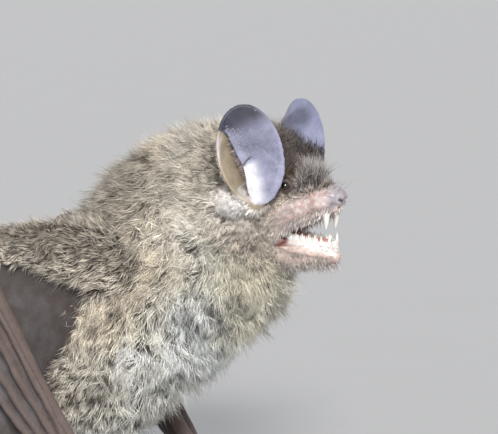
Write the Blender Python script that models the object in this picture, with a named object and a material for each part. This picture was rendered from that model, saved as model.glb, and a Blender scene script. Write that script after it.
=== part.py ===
"""A small funnel-eared bat at life size, standing on wrists and feet with its head up and mouth open.

Lengths are written in millimetres and turned into metres when a mesh is made.
+X is forward, +Y is the animal's left, +Z is up, and the floor is at Z = 0.
"""

import math

import bmesh
import bpy
import numpy as np
from mathutils import Matrix

MM = 0.001
GAP = 0.3
TANGENT_STEP = 0.01
# Angles of the rings that round off the end of a tube. Tubes with more sides than FINE_SIDES have two.
DOME_ANGLES, DOME_ANGLES_COARSE, FINE_SIDES = (35, 65), (50,), 14
WELD = 0.002

# Each row of a tube is a place on its axis, then its half height and its half width there.
# The body runs from the front of the skull, over the shoulders, down to the rump.
BODY = (
    (17.7, 0.0, 34.8, 4.5, 4.0),
    (16.2, 0.0, 34.5, 7.2, 5.6),
    (13.2, 0.0, 34.2, 9.9, 6.8),
    (8.4, 0.0, 31.8, 12.7, 8.2),
    (2.6, 0.0, 27.0, 13.3, 9.5),
    (-2.4, 0.0, 20.4, 11.8, 9.3),
    (-6.6, 0.0, 13.8, 9.2, 8.3),
    (-10.4, 0.0, 8.6, 6.6, 6.8),
    (-14.0, 0.0, 5.0, 4.2, 5.0),
)
BODY_DOME = 1.6
HEAD_END, NECK_END, CHEST_END = 2.15, 3.15, 5.3
BODY_SIDES = 24

MUZZLE = (
    (14.6, 0.0, 34.6, 4.6, 4.3),
    (17.8, 0.0, 34.7, 4.5, 3.5),
    (20.2, 0.0, 35.0, 3.1, 2.6),
    (21.6, 0.0, 34.9, 1.95, 2.0),
    (22.6, 0.0, 34.8, 1.4, 1.55),
)
JAW = (
    (14.4, 0.0, 29.0, 2.2, 3.4),
    (17.8, 0.0, 28.7, 1.9, 2.9),
    (20.4, 0.0, 28.7, 1.55, 2.1),
    (22.1, 0.0, 28.95, 1.15, 1.35),
)
TONGUE = (
    (16.6, 0.0, 30.1, 0.9, 1.7),
    (19.0, 0.0, 30.0, 0.6, 1.3),
    (21.0, 0.0, 30.1, 0.4, 0.8),
)

MOUTH_CORNER = (16.6, 30.6)
MOUTH_FRONT_ABOVE = (23.2, 33.4)
MOUTH_FRONT_BELOW = 29.3
MOUTH_CORNER_OPEN = 0.15
MOUTH_CUT_WIDTH = 9.0

UPPER_FRONT, LOWER_FRONT = 21.9, 22.3
# Teeth: distance back from the front tooth, height, root radius and share of the jaw's half width.
UPPER_TEETH = (
    (-0.2, 0.5, 0.25, 0.35),
    (0.7, 1.75, 0.48, 0.68),
    (1.9, 0.55, 0.42, 0.72),
    (2.9, 0.6, 0.5, 0.72),
    (3.9, 0.55, 0.5, 0.72),
)
LOWER_TEETH = (
    (-0.1, 0.3, 0.22, 0.3),
    (0.5, 1.05, 0.4, 0.6),
    (1.6, 0.4, 0.38, 0.7),
    (2.6, 0.45, 0.42, 0.72),
    (3.6, 0.45, 0.45, 0.72),
)

# Where the roots start, as a share of the jaw's half height, and how deep they are sunk.
TOOTH_ROOT = 0.62
TOOTH_SUNK = 0.35

EYE_CENTRE = (17.5, 3.85, 36.5)
EYE_RADIUS = 0.6

# The ear is a shell seen along its own facing direction: an oval rim round a canal that lies low in it.
EAR_CENTRE = (15.1, 8.5, 40.3)
EAR_FACING = math.radians(20)
EAR_HALF_WIDTH, EAR_HALF_HEIGHT = 3.95, 5.8
EAR_BACKWARD_LEAN, EAR_OUTWARD_LEAN = 0.13, 0.2
EAR_CANAL = (0.2, -3.9)
EAR_DEPTH = 3.0
EAR_VALLEY_ANGLE = math.radians(109)
EAR_VALLEY_DEPTH = 1.3
EAR_REAR_CURL = 1.5
EAR_THICKNESS = 0.6
EAR_SIDES, EAR_RINGS = 24, 5
EAR_CUTTER_FRONT = 12

SHOULDER = (0.0, 5.6, 27.2)
ELBOW = (-16.8, 14.2, 30.0)
WRIST = (1.0, 15.2, 0.9)
THUMB_JOINT = (3.8, 16.6, 0.55)
THUMB_TIP = (6.2, 17.3, 0.22)
HIP = (-11.5, 3.6, 9.2)
KNEE = (-20.8, 13.2, 18.0)
ANKLE = (-26.6, 12.4, 1.35)
FOOT_HEADING = math.radians(128)
FOOT_LENGTH, TOE_LENGTH, TOE_COUNT = 3.4, 4.4, 5
# A toe: share of its length, height of its axis and radius.
TOE = ((0, 0.5, 0.5), (0.4, 0.65, 0.42), (0.72, 0.45, 0.38), (1.0, 0.2, 0.22))

TAIL = (
    (-15.5, 0.0, 5.4, 1.5, 1.7),
    (-21.0, 0.0, 2.6, 1.0, 1.15),
    (-30.0, 0.0, 0.95, 0.85, 0.95),
    (-45.0, 0.0, 0.6, 0.65, 0.75),
    (-62.0, 0.0, 0.4, 0.42, 0.5),
)
MEMBRANE_THICKNESS = 0.55
FLANK_AND_LEG = ((-11.5, 7.4, 25.4), (-15.6, 9.6, 19.0), (-20.8, 13.2, 14.0), (-24.4, 12.9, 3.4))
TAIL_EDGE = (
    (-17.0, 7.2, 8.6),
    (-24.2, 11.2, 7.0),
    (-28.8, 11.4, 2.4),
    (-38.0, 9.8, 1.2),
    (-48.0, 4.6, 0.9),
    (-57.0, 1.9, 0.8),
)

# The most triangles that each piece keeps.
MOST_TRIANGLES = {
    "head": 1200,
    "lower_jaw": 640,
    "abdomen": 520,
    "ear": 400,
    "eye": 96,
    "upper_arm": 280,
    "forearm": 230,
    "thumb": 120,
    "wing_fingers": 440,
    "wing_membrane": 420,
    "thigh": 200,
    "shin": 170,
    "foot": 520,
    "tail": 220,
    "tail_membrane": 300,
}

FUR = (0.33, 0.29, 0.21)
PALE_FUR = (0.5, 0.49, 0.42)
SKIN = (0.55, 0.4, 0.38)
EAR_SKIN = (0.4, 0.39, 0.5)
WING_SKIN = (0.12, 0.1, 0.095)


def along(rows, t):
    """The rows read as a smooth curve at t, which counts rows from 0."""
    rows = np.asarray(rows, float)
    last = len(rows) - 1
    i = int(min(max(math.floor(t), 0), last - 1))
    f = t - i
    a, b = rows[i], rows[i + 1]
    slope_a = (b - rows[i - 1]) / 2 if i else b - a
    slope_b = (rows[i + 2] - a) / 2 if i + 2 <= last else b - a
    cubic = (2 * f**3 - 3 * f**2 + 1) * a + (f**3 - 2 * f**2 + f) * slope_a
    return cubic + (3 * f**2 - 2 * f**3) * b + (f**3 - f**2) * slope_b


def unit(v):
    v = np.asarray(v, float)
    return v / np.linalg.norm(v)


def mesh_object(name, points, faces, material=None, floor=None):
    """An object from points in millimetres. With floor, nothing reaches below that height."""
    points = np.array(points, float)
    if floor is not None:
        points[:, 2] = np.maximum(points[:, 2], floor)
    mesh = bpy.data.meshes.new(name)
    mesh.from_pydata([tuple(p) for p in points * MM], [], [tuple(f) for f in faces])
    edit = bmesh.new()
    edit.from_mesh(mesh)
    bmesh.ops.recalc_face_normals(edit, faces=edit.faces)
    bmesh.ops.triangulate(edit, faces=edit.faces)
    if edit.calc_volume(signed=True) < 0:
        bmesh.ops.reverse_faces(edit, faces=edit.faces)
    edit.to_mesh(mesh)
    edit.free()
    obj = bpy.data.objects.new(name, mesh)
    bpy.context.scene.collection.objects.link(obj)
    if material:
        mesh.materials.append(material)
    return obj


def ring_faces(first, second, sides):
    """The faces between two rings of points, given the number of the first point of each."""
    after = [(k + 1) % sides for k in range(sides)]
    return [(first + k, first + after[k], second + after[k], second + k) for k in range(sides)]


def section(rows, t, grow):
    """One cross-section of a tube: its centre, heading, sideways direction, half height and half width."""
    row = along(rows, t)
    ahead = along(rows, min(t + TANGENT_STEP, len(rows) - 1))[:3]
    behind = along(rows, max(t - TANGENT_STEP, 0))[:3]
    heading = unit(ahead - behind)
    return row[:3], heading, unit(np.cross(heading, (0, 0, 1))), row[3] + grow, row[4] + grow


def dome_end(end_section, reach, sign, sides):
    """The sections that round off an end of a tube, and the point at its middle."""
    centre, heading, across, high, wide = end_section
    outward = sign * heading * reach
    angles = DOME_ANGLES if sides > FINE_SIDES else DOME_ANGLES_COARSE
    turns = [math.radians(a) for a in angles] if reach else []
    rounded = []
    for a in turns:
        shrink = math.cos(a)
        rounded.append((centre + outward * math.sin(a), heading, across, high * shrink, wide * shrink))
    return rounded, centre + outward


def tube(name, rows, rings, sides, material=None, grow=0.0, span=None, domes=(0.8, 0.8), floor=None):
    """A closed tube of oval section along the rows, or a span of them. A dome of 0 gives a flat end."""
    start, end = span or (0.0, len(rows) - 1.0)
    sections = [section(rows, t, grow) for t in np.linspace(start, end, rings)]
    reach = [dome + grow if dome else 0.0 for dome in domes]
    first, first_middle = dome_end(sections[0], reach[0], -1, sides)
    last, last_middle = dome_end(sections[-1], reach[1], 1, sides)
    sections = first[::-1] + sections + last
    points, faces = [], []
    for centre, heading, across, high, wide in sections:
        upward = np.cross(across, heading)
        for k in range(sides):
            a = 2 * math.pi * k / sides
            points.append(centre + across * wide * math.cos(a) + upward * high * math.sin(a))
    for r in range(len(sections) - 1):
        faces += ring_faces(r * sides, (r + 1) * sides, sides)
    points += [first_middle, last_middle]
    last_ring = (len(sections) - 1) * sides
    for k in range(sides):
        after = (k + 1) % sides
        faces.append((k, after, len(points) - 2))
        faces.append((last_ring + k, last_ring + after, len(points) - 1))
    return mesh_object(name, points, faces, material, floor)


def limb(ends, radii, bow=(0, 0, 0)):
    """The rows of a limb that bows between its two ends."""
    first, last = np.array(ends[0], float), np.array(ends[1], float)
    rows = []
    for i, radius in enumerate(radii):
        f = i / (len(radii) - 1)
        place = first + (last - first) * f + np.array(bow) * math.sin(math.pi * f)
        rows.append((*place, radius, radius))
    return rows


def sheet(name, grid, material=None, thickness=MEMBRANE_THICKNESS, floor=None):
    """A closed sheet of even thickness round a grid of points."""
    grid = np.asarray(grid, float)
    rows, columns = grid.shape[:2]
    normal = np.cross(np.gradient(grid, axis=0), np.gradient(grid, axis=1))
    normal /= np.linalg.norm(normal, axis=2, keepdims=True)
    front = (grid + normal * thickness / 2).reshape(-1, 3)
    back = (grid - normal * thickness / 2).reshape(-1, 3)
    total = rows * columns
    faces = []
    for i in range(rows - 1):
        for j in range(columns - 1):
            a, b = i * columns + j, i * columns + j + 1
            c, d = a + columns, b + columns
            faces += [(a, b, d, c), (a + total, c + total, d + total, b + total)]
    edge = [(0, j) for j in range(columns)] + [(i, columns - 1) for i in range(1, rows)]
    edge += [(rows - 1, j) for j in range(columns - 2, -1, -1)] + [(i, 0) for i in range(rows - 2, 0, -1)]
    loop = [i * columns + j for i, j in edge]
    for k, a in enumerate(loop):
        b = loop[(k + 1) % len(loop)]
        faces.append((a, b, b + total, a + total))
    return mesh_object(name, np.concatenate([front, back]), faces, material, floor)


def mirrored(name, obj):
    """A copy on the animal's other side."""
    mesh = obj.data.copy()
    for v in mesh.vertices:
        v.co.y = -v.co.y
    mesh.flip_normals()
    copy = bpy.data.objects.new(name, mesh)
    bpy.context.scene.collection.objects.link(copy)
    return copy


def apply_modifiers(obj):
    bpy.context.view_layer.update()
    graph = bpy.context.evaluated_depsgraph_get()
    mesh = bpy.data.meshes.new_from_object(obj.evaluated_get(graph), depsgraph=graph)
    obj.modifiers.clear()
    obj.data = mesh


def combine(obj, others, operation):
    """Applies one Boolean for each of the others, which are then removed."""
    for other in others:
        cut = obj.modifiers.new("combine", "BOOLEAN")
        cut.operation = operation
        cut.solver = "EXACT"
        cut.object = other
        apply_modifiers(obj)
        bpy.data.objects.remove(other)
    return obj


def largest_body(obj):
    """Keeps the largest of the closed bodies that cutting may leave, and closes up its smallest edges."""
    edit = bmesh.new()
    edit.from_mesh(obj.data)
    bmesh.ops.remove_doubles(edit, verts=edit.verts, dist=WELD * MM)
    bmesh.ops.dissolve_degenerate(edit, edges=edit.edges, dist=WELD * MM)
    bmesh.ops.triangulate(edit, faces=edit.faces)
    left, bodies = set(edit.verts), []
    while left:
        body, edge = set(), [left.pop()]
        while edge:
            v = edge.pop()
            body.add(v)
            near = {e.other_vert(v) for e in v.link_edges} - body
            edge += list(near & left)
            left -= near
        bodies.append(body)
    keep = max(bodies, key=len)
    bmesh.ops.delete(edit, geom=[v for v in edit.verts if v not in keep], context="VERTS")
    edit.to_mesh(obj.data)
    edit.free()
    return obj


def make_material(name, colour, roughness=0.7):
    material = bpy.data.materials.new(name)
    material.use_nodes = True
    shader = material.node_tree.nodes["Principled BSDF"]
    shader.inputs["Base Color"].default_value = (*colour, 1)
    shader.inputs["Roughness"].default_value = roughness
    return material


def whole_body(grow):
    """The body's outline in one piece, used to trim what grows from it."""
    return tube("trim", BODY, 30, BODY_SIDES, grow=grow, domes=(BODY_DOME, 2.0))


def body_length(start, end):
    places = [along(BODY, t)[:3] for t in np.linspace(start, end, 20)]
    return sum(np.linalg.norm(b - a) for a, b in zip(places, places[1:]))


def body_piece(name, start, end, rings, material, domes=(0, 0)):
    """One length of the body, which starts a gap after the piece before it."""
    shift = GAP / body_length(start, start + 1) if start else 0.0
    return tube(name, BODY, rings, BODY_SIDES, material, span=(start + shift, end), domes=domes)


def ear_rim(angle):
    """The rim's place in the ear's own plane."""
    a = EAR_HALF_WIDTH * math.cos(angle)
    b = EAR_HALF_HEIGHT * math.sin(angle)
    return a - EAR_BACKWARD_LEAN * b, b


def ear_point(reach, angle):
    """A point of the cup of the left ear. Reach is 0 at the canal and 1 at the rim."""
    rim_a, rim_b = ear_rim(angle)
    a = EAR_CANAL[0] * (1 - reach) + rim_a * reach
    b = EAR_CANAL[1] * (1 - reach) + rim_b * reach
    ray = math.atan2(rim_b - EAR_CANAL[1], rim_a - EAR_CANAL[0])
    off_valley = (ray - EAR_VALLEY_ANGLE + math.pi) % (2 * math.pi) - math.pi
    out = -EAR_DEPTH * (1 - reach**1.6)
    out -= EAR_VALLEY_DEPTH * math.exp(-((off_valley / 0.4) ** 2)) * math.sin(math.pi * reach)
    rearward = max(0.0, -math.cos(angle))
    out += EAR_REAR_CURL * rearward**1.5 * reach**2
    facing = np.array((math.sin(EAR_FACING), math.cos(EAR_FACING), 0))
    forward = np.array((math.cos(EAR_FACING), -math.sin(EAR_FACING), 0))
    upward = unit(np.array((0, 0, 1)) + EAR_OUTWARD_LEAN * facing)
    return np.array(EAR_CENTRE) + a * forward + b * upward + out * facing


def ear_shell(name, material, offset=0.0, thickness=EAR_THICKNESS, front=None):
    """The left ear: its cup and the back of the cup, joined round the rim.

    With front, the cup is filled that far out. The offset grows the back, for cutting room for the ear.
    """
    sides, rings = EAR_SIDES, EAR_RINGS
    facing = np.array((math.sin(EAR_FACING), math.cos(EAR_FACING), 0))
    cup = []
    for r in range(1, rings + 1):
        for k in range(sides):
            cup.append(ear_point(r / rings, 2 * math.pi * k / sides))
    cup = np.array(cup).reshape(rings, sides, 3)
    around = np.roll(cup, -1, axis=1) - np.roll(cup, 1, axis=1)
    outward = np.gradient(cup, axis=0)
    normal = np.cross(outward, around)
    normal /= np.linalg.norm(normal, axis=2, keepdims=True)
    normal *= np.sign((normal * facing).sum(axis=2, keepdims=True))
    back = cup - normal * (thickness + offset)
    centre = ear_point(0, 0)
    back_centre = centre - facing * (thickness + offset)
    if front is not None:
        widened = back[-1] + outward[-1] / np.linalg.norm(outward[-1], axis=1, keepdims=True) * offset
        back[-1] = widened
        cup = np.array([widened + facing * front])
        centre = cup[0].mean(axis=0)
    points = np.concatenate([cup.reshape(-1, 3), back.reshape(-1, 3), [centre, back_centre]])
    front_rings = len(cup)
    first_back = front_rings * sides
    faces = []
    for r in range(front_rings - 1):
        faces += ring_faces(r * sides, (r + 1) * sides, sides)
    for r in range(rings - 1):
        faces += ring_faces(first_back + r * sides, first_back + (r + 1) * sides, sides)
    faces += ring_faces((front_rings - 1) * sides, first_back + (rings - 1) * sides, sides)
    for k in range(sides):
        after = (k + 1) % sides
        faces.append((k, after, len(points) - 2))
        faces.append((first_back + k, first_back + after, len(points) - 1))
    return mesh_object(name, points, faces, material)


def cone(name, base, tip, radius, sides=6):
    """A tooth: a cone with a blunt tip."""
    base, tip = np.array(base, float), np.array(tip, float)
    heading = unit(tip - base)
    across = unit(np.cross(heading, (1, 0.3, 0)))
    other = np.cross(heading, across)
    points = []
    for share, size in ((0, 1.0), (0.5, 0.72), (0.92, 0.2)):
        for k in range(sides):
            a = 2 * math.pi * k / sides
            ring = (across * math.cos(a) + other * math.sin(a)) * radius * size
            points.append(base + (tip - base) * share + ring)
    faces = ring_faces(0, sides, sides) + ring_faces(sides, 2 * sides, sides)
    faces += [tuple(range(sides)), tuple(range(2 * sides, 3 * sides))]
    return mesh_object(name, points, faces)


def tooth_row(rows, teeth, upward, front):
    """Teeth on both sides of a jaw, along its edge, with their roots sunk into it."""
    made = []
    for back, height, radius, spread in teeth:
        x = front - back
        t = next(t for t in np.linspace(0, len(rows) - 1, 200)[::-1] if along(rows, t)[0] <= x)
        row = along(rows, t)
        edge = row[2] + upward * row[3] * TOOTH_ROOT
        for side in (1, -1):
            y = side * row[4] * spread
            tip = (x + 0.15, y * 0.97, edge + upward * (height + TOOTH_SUNK))
            made.append(cone("tooth", (x, y, edge), tip, radius))
    return made


def mouth_opening():
    """A wedge from the corners of the mouth out past the lips."""
    corner, above, below = MOUTH_CORNER, MOUTH_FRONT_ABOVE, MOUTH_FRONT_BELOW
    points = []
    for share in (0.0, 1.4):
        x = corner[0] + (above[0] - corner[0]) * share
        top = corner[1] + MOUTH_CORNER_OPEN + (above[1] - corner[1]) * share
        bottom = corner[1] - MOUTH_CORNER_OPEN + (below - corner[1]) * share
        corners = ((-1, bottom), (1, bottom), (1, top), (-1, top))
        points += [(x, side * MOUTH_CUT_WIDTH, z) for side, z in corners]
    return mesh_object("trim", points, [(0, 1, 2, 3), (4, 5, 6, 7)] + ring_faces(0, 4, 4))


def head(fur):
    skull = body_piece("head", 0.0, HEAD_END, 8, fur, domes=(BODY_DOME, 0))
    combine(skull, [tube("muzzle", MUZZLE, 8, 18, domes=(0.5, 0.9))], "UNION")
    combine(skull, [mouth_opening()], "DIFFERENCE")
    combine(skull, [tube("trim", JAW, 9, 16, grow=GAP, domes=(0.5, 0.9))], "DIFFERENCE")
    return combine(skull, tooth_row(MUZZLE, UPPER_TEETH, -1, UPPER_FRONT), "UNION")


def sphere(name, centre, radius, material=None):
    x, y, z = centre
    rows = []
    for share in (-0.5, 0, 0.5):
        ring = radius * math.sqrt(1 - share**2)
        rows.append((x + radius * share, y, z, ring, ring))
    return tube(name, rows, 4, 10, material, domes=(radius * 0.5, radius * 0.5))


def lower_jaw(fur):
    jaw = tube("lower_jaw", JAW, 9, 16, fur, domes=(0.5, 0.9))
    combine(jaw, tooth_row(JAW, LOWER_TEETH, 1, LOWER_FRONT), "UNION")
    return combine(jaw, [tube("trim", TONGUE, 6, 10, grow=GAP, domes=(0.5, 0.6))], "DIFFERENCE")


def foot_rows():
    """The sole and the toes of the left foot, each as the rows of a tube."""
    ankle = np.array(ANKLE)
    heading = np.array((math.cos(FOOT_HEADING), math.sin(FOOT_HEADING), 0))
    across = np.array((heading[1], -heading[0], 0))
    ball = ankle + heading * FOOT_LENGTH
    sole = [
        (*(ankle - heading * 0.6), 1.0, 1.0),
        (*(ankle + heading * 1.6 - (0, 0, 0.4)), 0.8, 1.25),
        (*(ball - (0, 0, 0.8)), 0.65, 1.6),
    ]
    toes = []
    for k in range(TOE_COUNT):
        spread = (k - (TOE_COUNT - 1) / 2) / TOE_COUNT
        direction = unit(heading + across * spread * 0.75)
        root = ball - heading * 0.5 + across * spread * 3.2
        rows = []
        for share, height, radius in TOE:
            place = root + direction * TOE_LENGTH * share
            rows.append((place[0], place[1], height, radius, radius))
        toes.append(rows)
    return sole, toes


def foot(name, material):
    sole, toes = foot_rows()
    obj = tube(name, sole, 4, 10, material, domes=(0.6, 0.6), floor=0.0)
    combine(obj, [tube("toe", rows, 5, 6, domes=(0.3, 0.25), floor=0.0) for rows in toes], "UNION")
    return combine(obj, [tube("trim", SHIN, 6, 12, grow=GAP, domes=(0.8, 0.8))], "DIFFERENCE")


UPPER_ARM = limb((SHOULDER, ELBOW), (3.8, 3.5, 2.7, 2.0), (0, 0.4, 0.8))
FOREARM = limb((ELBOW, WRIST), (1.7, 1.5, 1.15, 0.95, 1.1), (-0.6, 0.5, 0))
THUMB = ((*WRIST, 0.8, 0.8), (*THUMB_JOINT, 0.6, 0.6), (*THUMB_TIP, 0.28, 0.28))
THIGH = limb((HIP, KNEE), (3.0, 2.3, 1.7, 1.3), (0, 0, 0.6))
SHIN = limb((KNEE, ANKLE), (1.2, 1.0, 0.8, 0.8), (-0.5, 0, 0))


def grown(rows, sides=12, rings=8):
    return tube("trim", rows, rings, sides, grow=GAP)


def folded_fingers(name, material):
    """The long fingers of the left hand, folded back along the forearm with the wing pleated between."""
    wrist, elbow = np.array(WRIST), np.array(ELBOW)
    up_arm = unit(elbow - wrist)
    outward = unit(np.cross(up_arm, (1, 0.15, 0.6)))
    outward = outward if outward[1] > 0 else -outward
    rearward = unit(np.cross(outward, up_arm))
    rearward = rearward if rearward[0] < 0 else -rearward
    length = np.linalg.norm(elbow - wrist) * 1.02
    grid = []
    for s in np.linspace(0.07, 1.0, 10):
        width = 1.4 + 5.2 * math.sin(min(s, 0.8) / 0.8 * math.pi / 2)
        taper = 0.3 + 0.7 * math.sqrt(max(0.0, 1 - max(0.0, (s - 0.8) / 0.21) ** 2))
        pleat_height = 0.42 * min(1.0, (width * taper / 5.5) ** 2)
        row = []
        for w in np.linspace(0, 1, 13):
            pleat = pleat_height * math.cos(w * 6 * math.pi)
            place = wrist + up_arm * length * s + rearward * width * (0.38 + (w - 0.5) * taper)
            row.append(place + outward * (2.3 - 0.5 * s + pleat))
        grid.append(row)
    return sheet(name, grid, material, 0.8, floor=0.3)


def side_membrane(name, material):
    """The wing between forearm, flank and leg on the left, slack and pleated."""
    arm = limb((ELBOW, WRIST), (1, 1, 1), (-0.6, 0.5, 0))
    grid = []
    for u in np.linspace(0.14, 1, 8):
        inward = math.cos(u * math.pi / 2)
        front = along(arm, 2 * 0.74 * u)[:3] + np.array((-2.0 + 1.2 * inward, -0.6 - 1.6 * inward, -0.6))
        rear = along(FLANK_AND_LEG, 3 * u)
        outward = unit((0.5 * inward, 1, 0.5 * inward))
        row = []
        for v in np.linspace(0, 1, 13):
            pleat = 0.5 * math.sin(v * 5 * math.pi) * u
            swell = math.sin(math.pi * v)
            sag = np.array((0, 0, 1.6 * swell * u))
            row.append(front * (1 - v) + rear * v + outward * (pleat + 0.6 * swell) - sag)
        grid.append(row)
    return sheet(name, grid, material)


def tail_membrane(name, material):
    """The left half of the membrane that runs from the leg to the tip of the tail."""
    grid = []
    for u in np.linspace(0, 1, 12):
        row_of_tail = along(TAIL, 0.35 + 3.45 * u)
        inner = row_of_tail[:3] + np.array((0, row_of_tail[4] + GAP + 0.05, 0.15))
        outer = along(TAIL_EDGE, (len(TAIL_EDGE) - 1) * u)
        ripple = 0.3 * min(1.0, (np.linalg.norm(outer - inner) / 8) ** 2)
        row = []
        for v in np.linspace(0, 1, 7):
            place = inner * (1 - v) + outer * v
            place[2] += ripple * math.sin(v * 4 * math.pi) + 0.7 * math.sin(math.pi * v) * (1 - u)
            place[2] = max(place[2], MEMBRANE_THICKNESS / 2 + 0.12)
            row.append(place)
        grid.append(row)
    return sheet(name, grid, material)


def finished(obj, name):
    """Names a piece, keeps its largest body and brings it down to its number of triangles."""
    largest_body(obj)
    obj.name = name
    obj.data.calc_loop_triangles()
    ratio = MOST_TRIANGLES.get(name, math.inf) / len(obj.data.loop_triangles)
    if ratio < 1:
        fewer = obj.modifiers.new("thin", "DECIMATE")
        fewer.ratio = ratio
        apply_modifiers(obj)
    return obj


def both_sides(obj, name):
    """Finishes a left piece and adds its twin on the right."""
    finished(obj, name)
    obj.name = name + "_left"
    mirrored(name + "_right", obj)


def build():
    for obj in list(bpy.data.objects):
        bpy.data.objects.remove(obj)
    fur = make_material("fur", FUR, 0.9)
    pale = make_material("pale fur", PALE_FUR, 0.9)
    skin = make_material("skin", SKIN, 0.5)
    ear_skin = make_material("ear skin", EAR_SKIN, 0.45)
    wing = make_material("wing skin", WING_SKIN, 0.55)
    eye = make_material("eye", (0.01, 0.008, 0.006), 0.08)

    skull = head(fur)
    neck = body_piece("neck", HEAD_END, NECK_END, 6, fur)
    chest = body_piece("chest", NECK_END, CHEST_END, 9, pale)
    abdomen = body_piece("abdomen", CHEST_END, 8.0, 12, pale, domes=(0, 2.0))
    combine(neck, [tube("trim", JAW, 9, 16, grow=GAP, domes=(0.5, 0.9))], "DIFFERENCE")
    for piece in (skull, neck):
        for side in (1, -1):
            cutter = ear_shell("trim", None, offset=GAP, front=EAR_CUTTER_FRONT)
            if side < 0:
                cutter_right = mirrored("trim right", cutter)
                bpy.data.objects.remove(cutter)
                cutter = cutter_right
            combine(piece, [cutter], "DIFFERENCE")
    for side in (1, -1):
        place = (EYE_CENTRE[0], side * EYE_CENTRE[1], EYE_CENTRE[2])
        combine(skull, [sphere("trim", place, EYE_RADIUS + GAP)], "DIFFERENCE")
    for piece in (skull, neck, chest, abdomen, lower_jaw(skin)):
        finished(piece, piece.name)
    tube("tongue", TONGUE, 6, 10, skin, domes=(0.5, 0.6))

    both_sides(sphere("eye", EYE_CENTRE, EYE_RADIUS, eye), "eye")
    both_sides(ear_shell("ear", ear_skin), "ear")

    upper_arm = tube("arm", UPPER_ARM, 8, 14, fur, domes=(1.0, 1.2))
    both_sides(combine(upper_arm, [whole_body(GAP), grown(FOREARM)], "DIFFERENCE"), "upper_arm")
    both_sides(tube("arm", FOREARM, 11, 12, wing, floor=0.0), "forearm")
    thumb = tube("thumb", THUMB, 7, 10, skin, floor=0.0)
    both_sides(combine(thumb, [grown(FOREARM)], "DIFFERENCE"), "thumb")
    fingers = folded_fingers("fingers", wing)
    both_sides(combine(fingers, [grown(FOREARM), grown(UPPER_ARM)], "DIFFERENCE"), "wing_fingers")
    thigh = tube("leg", THIGH, 7, 12, fur)
    both_sides(combine(thigh, [whole_body(GAP)], "DIFFERENCE"), "thigh")
    both_sides(combine(tube("leg", SHIN, 8, 10, wing), [grown(THIGH)], "DIFFERENCE"), "shin")
    both_sides(foot("foot", skin), "foot")
    tail = tube("tail", TAIL, 16, 10, wing, domes=(0.8, 0.5), floor=0.0)
    finished(combine(tail, [whole_body(GAP)], "DIFFERENCE"), "tail")

    side_trims = [grown(FOREARM), grown(UPPER_ARM), grown(THIGH), grown(SHIN), whole_body(GAP)]
    both_sides(combine(side_membrane("membrane", wing), side_trims, "DIFFERENCE"), "wing_membrane")
    tail_trims = [grown(TAIL, 10, 16), grown(THIGH), grown(SHIN), whole_body(GAP)]
    both_sides(combine(tail_membrane("membrane", wing), tail_trims, "DIFFERENCE"), "tail_membrane")

    ends = [v.co.x for obj in bpy.data.objects for v in obj.data.vertices]
    to_middle = Matrix.Translation((-(min(ends) + max(ends)) / 2, 0, 0))
    for obj in bpy.data.objects:
        obj.data.transform(to_middle)
        obj.data.shade_smooth()
        obj.data.set_sharp_from_angle(angle=math.radians(50))


build()
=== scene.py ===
"""The looks of a small funnel-eared bat: skin, coat, eyes, teeth and claws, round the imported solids.

Lengths are in millimetres in the animal's own frame: +X forward, +Y its left, +Z up, floor at Z = 0,
and the shoulders at X = 0. They turn into metres in the row's frame when an object is made.
"""

import math

import bpy
import numpy as np
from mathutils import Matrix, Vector
from mathutils.bvhtree import BVHTree
from mathutils.kdtree import KDTree


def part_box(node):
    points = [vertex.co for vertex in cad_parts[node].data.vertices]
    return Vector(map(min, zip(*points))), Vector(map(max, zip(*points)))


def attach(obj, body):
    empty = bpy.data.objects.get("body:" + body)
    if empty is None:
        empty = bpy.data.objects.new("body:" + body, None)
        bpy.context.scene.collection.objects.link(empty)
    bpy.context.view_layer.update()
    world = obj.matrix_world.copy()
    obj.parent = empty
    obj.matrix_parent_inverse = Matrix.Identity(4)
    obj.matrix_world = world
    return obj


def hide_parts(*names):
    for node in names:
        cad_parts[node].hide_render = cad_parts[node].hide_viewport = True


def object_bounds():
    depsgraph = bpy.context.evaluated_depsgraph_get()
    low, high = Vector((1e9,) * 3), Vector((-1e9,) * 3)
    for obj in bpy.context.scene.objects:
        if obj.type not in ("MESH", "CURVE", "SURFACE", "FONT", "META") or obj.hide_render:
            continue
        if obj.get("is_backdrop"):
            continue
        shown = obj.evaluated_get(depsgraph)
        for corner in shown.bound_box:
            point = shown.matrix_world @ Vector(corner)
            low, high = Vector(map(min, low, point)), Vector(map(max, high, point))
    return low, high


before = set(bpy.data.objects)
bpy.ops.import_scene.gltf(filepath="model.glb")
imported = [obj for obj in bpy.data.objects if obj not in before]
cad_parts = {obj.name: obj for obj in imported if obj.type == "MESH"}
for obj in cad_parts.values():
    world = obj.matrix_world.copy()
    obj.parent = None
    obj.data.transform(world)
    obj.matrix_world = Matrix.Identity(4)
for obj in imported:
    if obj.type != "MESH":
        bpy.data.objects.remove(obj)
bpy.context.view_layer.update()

MM = 0.001
SEED = 7
EYE_CENTRE = (17.5, 3.85, 36.5)
EYE_RADIUS = 0.6
EYE_FACING = (0.36, 0.92, 0.12)
low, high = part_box("eye_left")
SHIFT = np.array(((low.x + high.x) / 2 / MM - EYE_CENTRE[0], 0.0, 0.0))

# Rows of a tube: a place on its axis, then its half height and half width there, out to the tips of the coat.
BODY = (
    (17.7, 0.0, 34.8, 4.5, 4.0),
    (16.2, 0.0, 34.5, 7.2, 5.6),
    (13.2, 0.0, 34.2, 9.9, 6.8),
    (8.4, 0.0, 31.8, 12.7, 8.2),
    (2.6, 0.0, 27.0, 13.3, 9.5),
    (-2.4, 0.0, 20.4, 11.8, 9.3),
    (-6.6, 0.0, 13.8, 9.2, 8.3),
    (-10.4, 0.0, 8.6, 6.6, 6.8),
    (-14.0, 0.0, 5.0, 4.2, 5.0),
)
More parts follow.
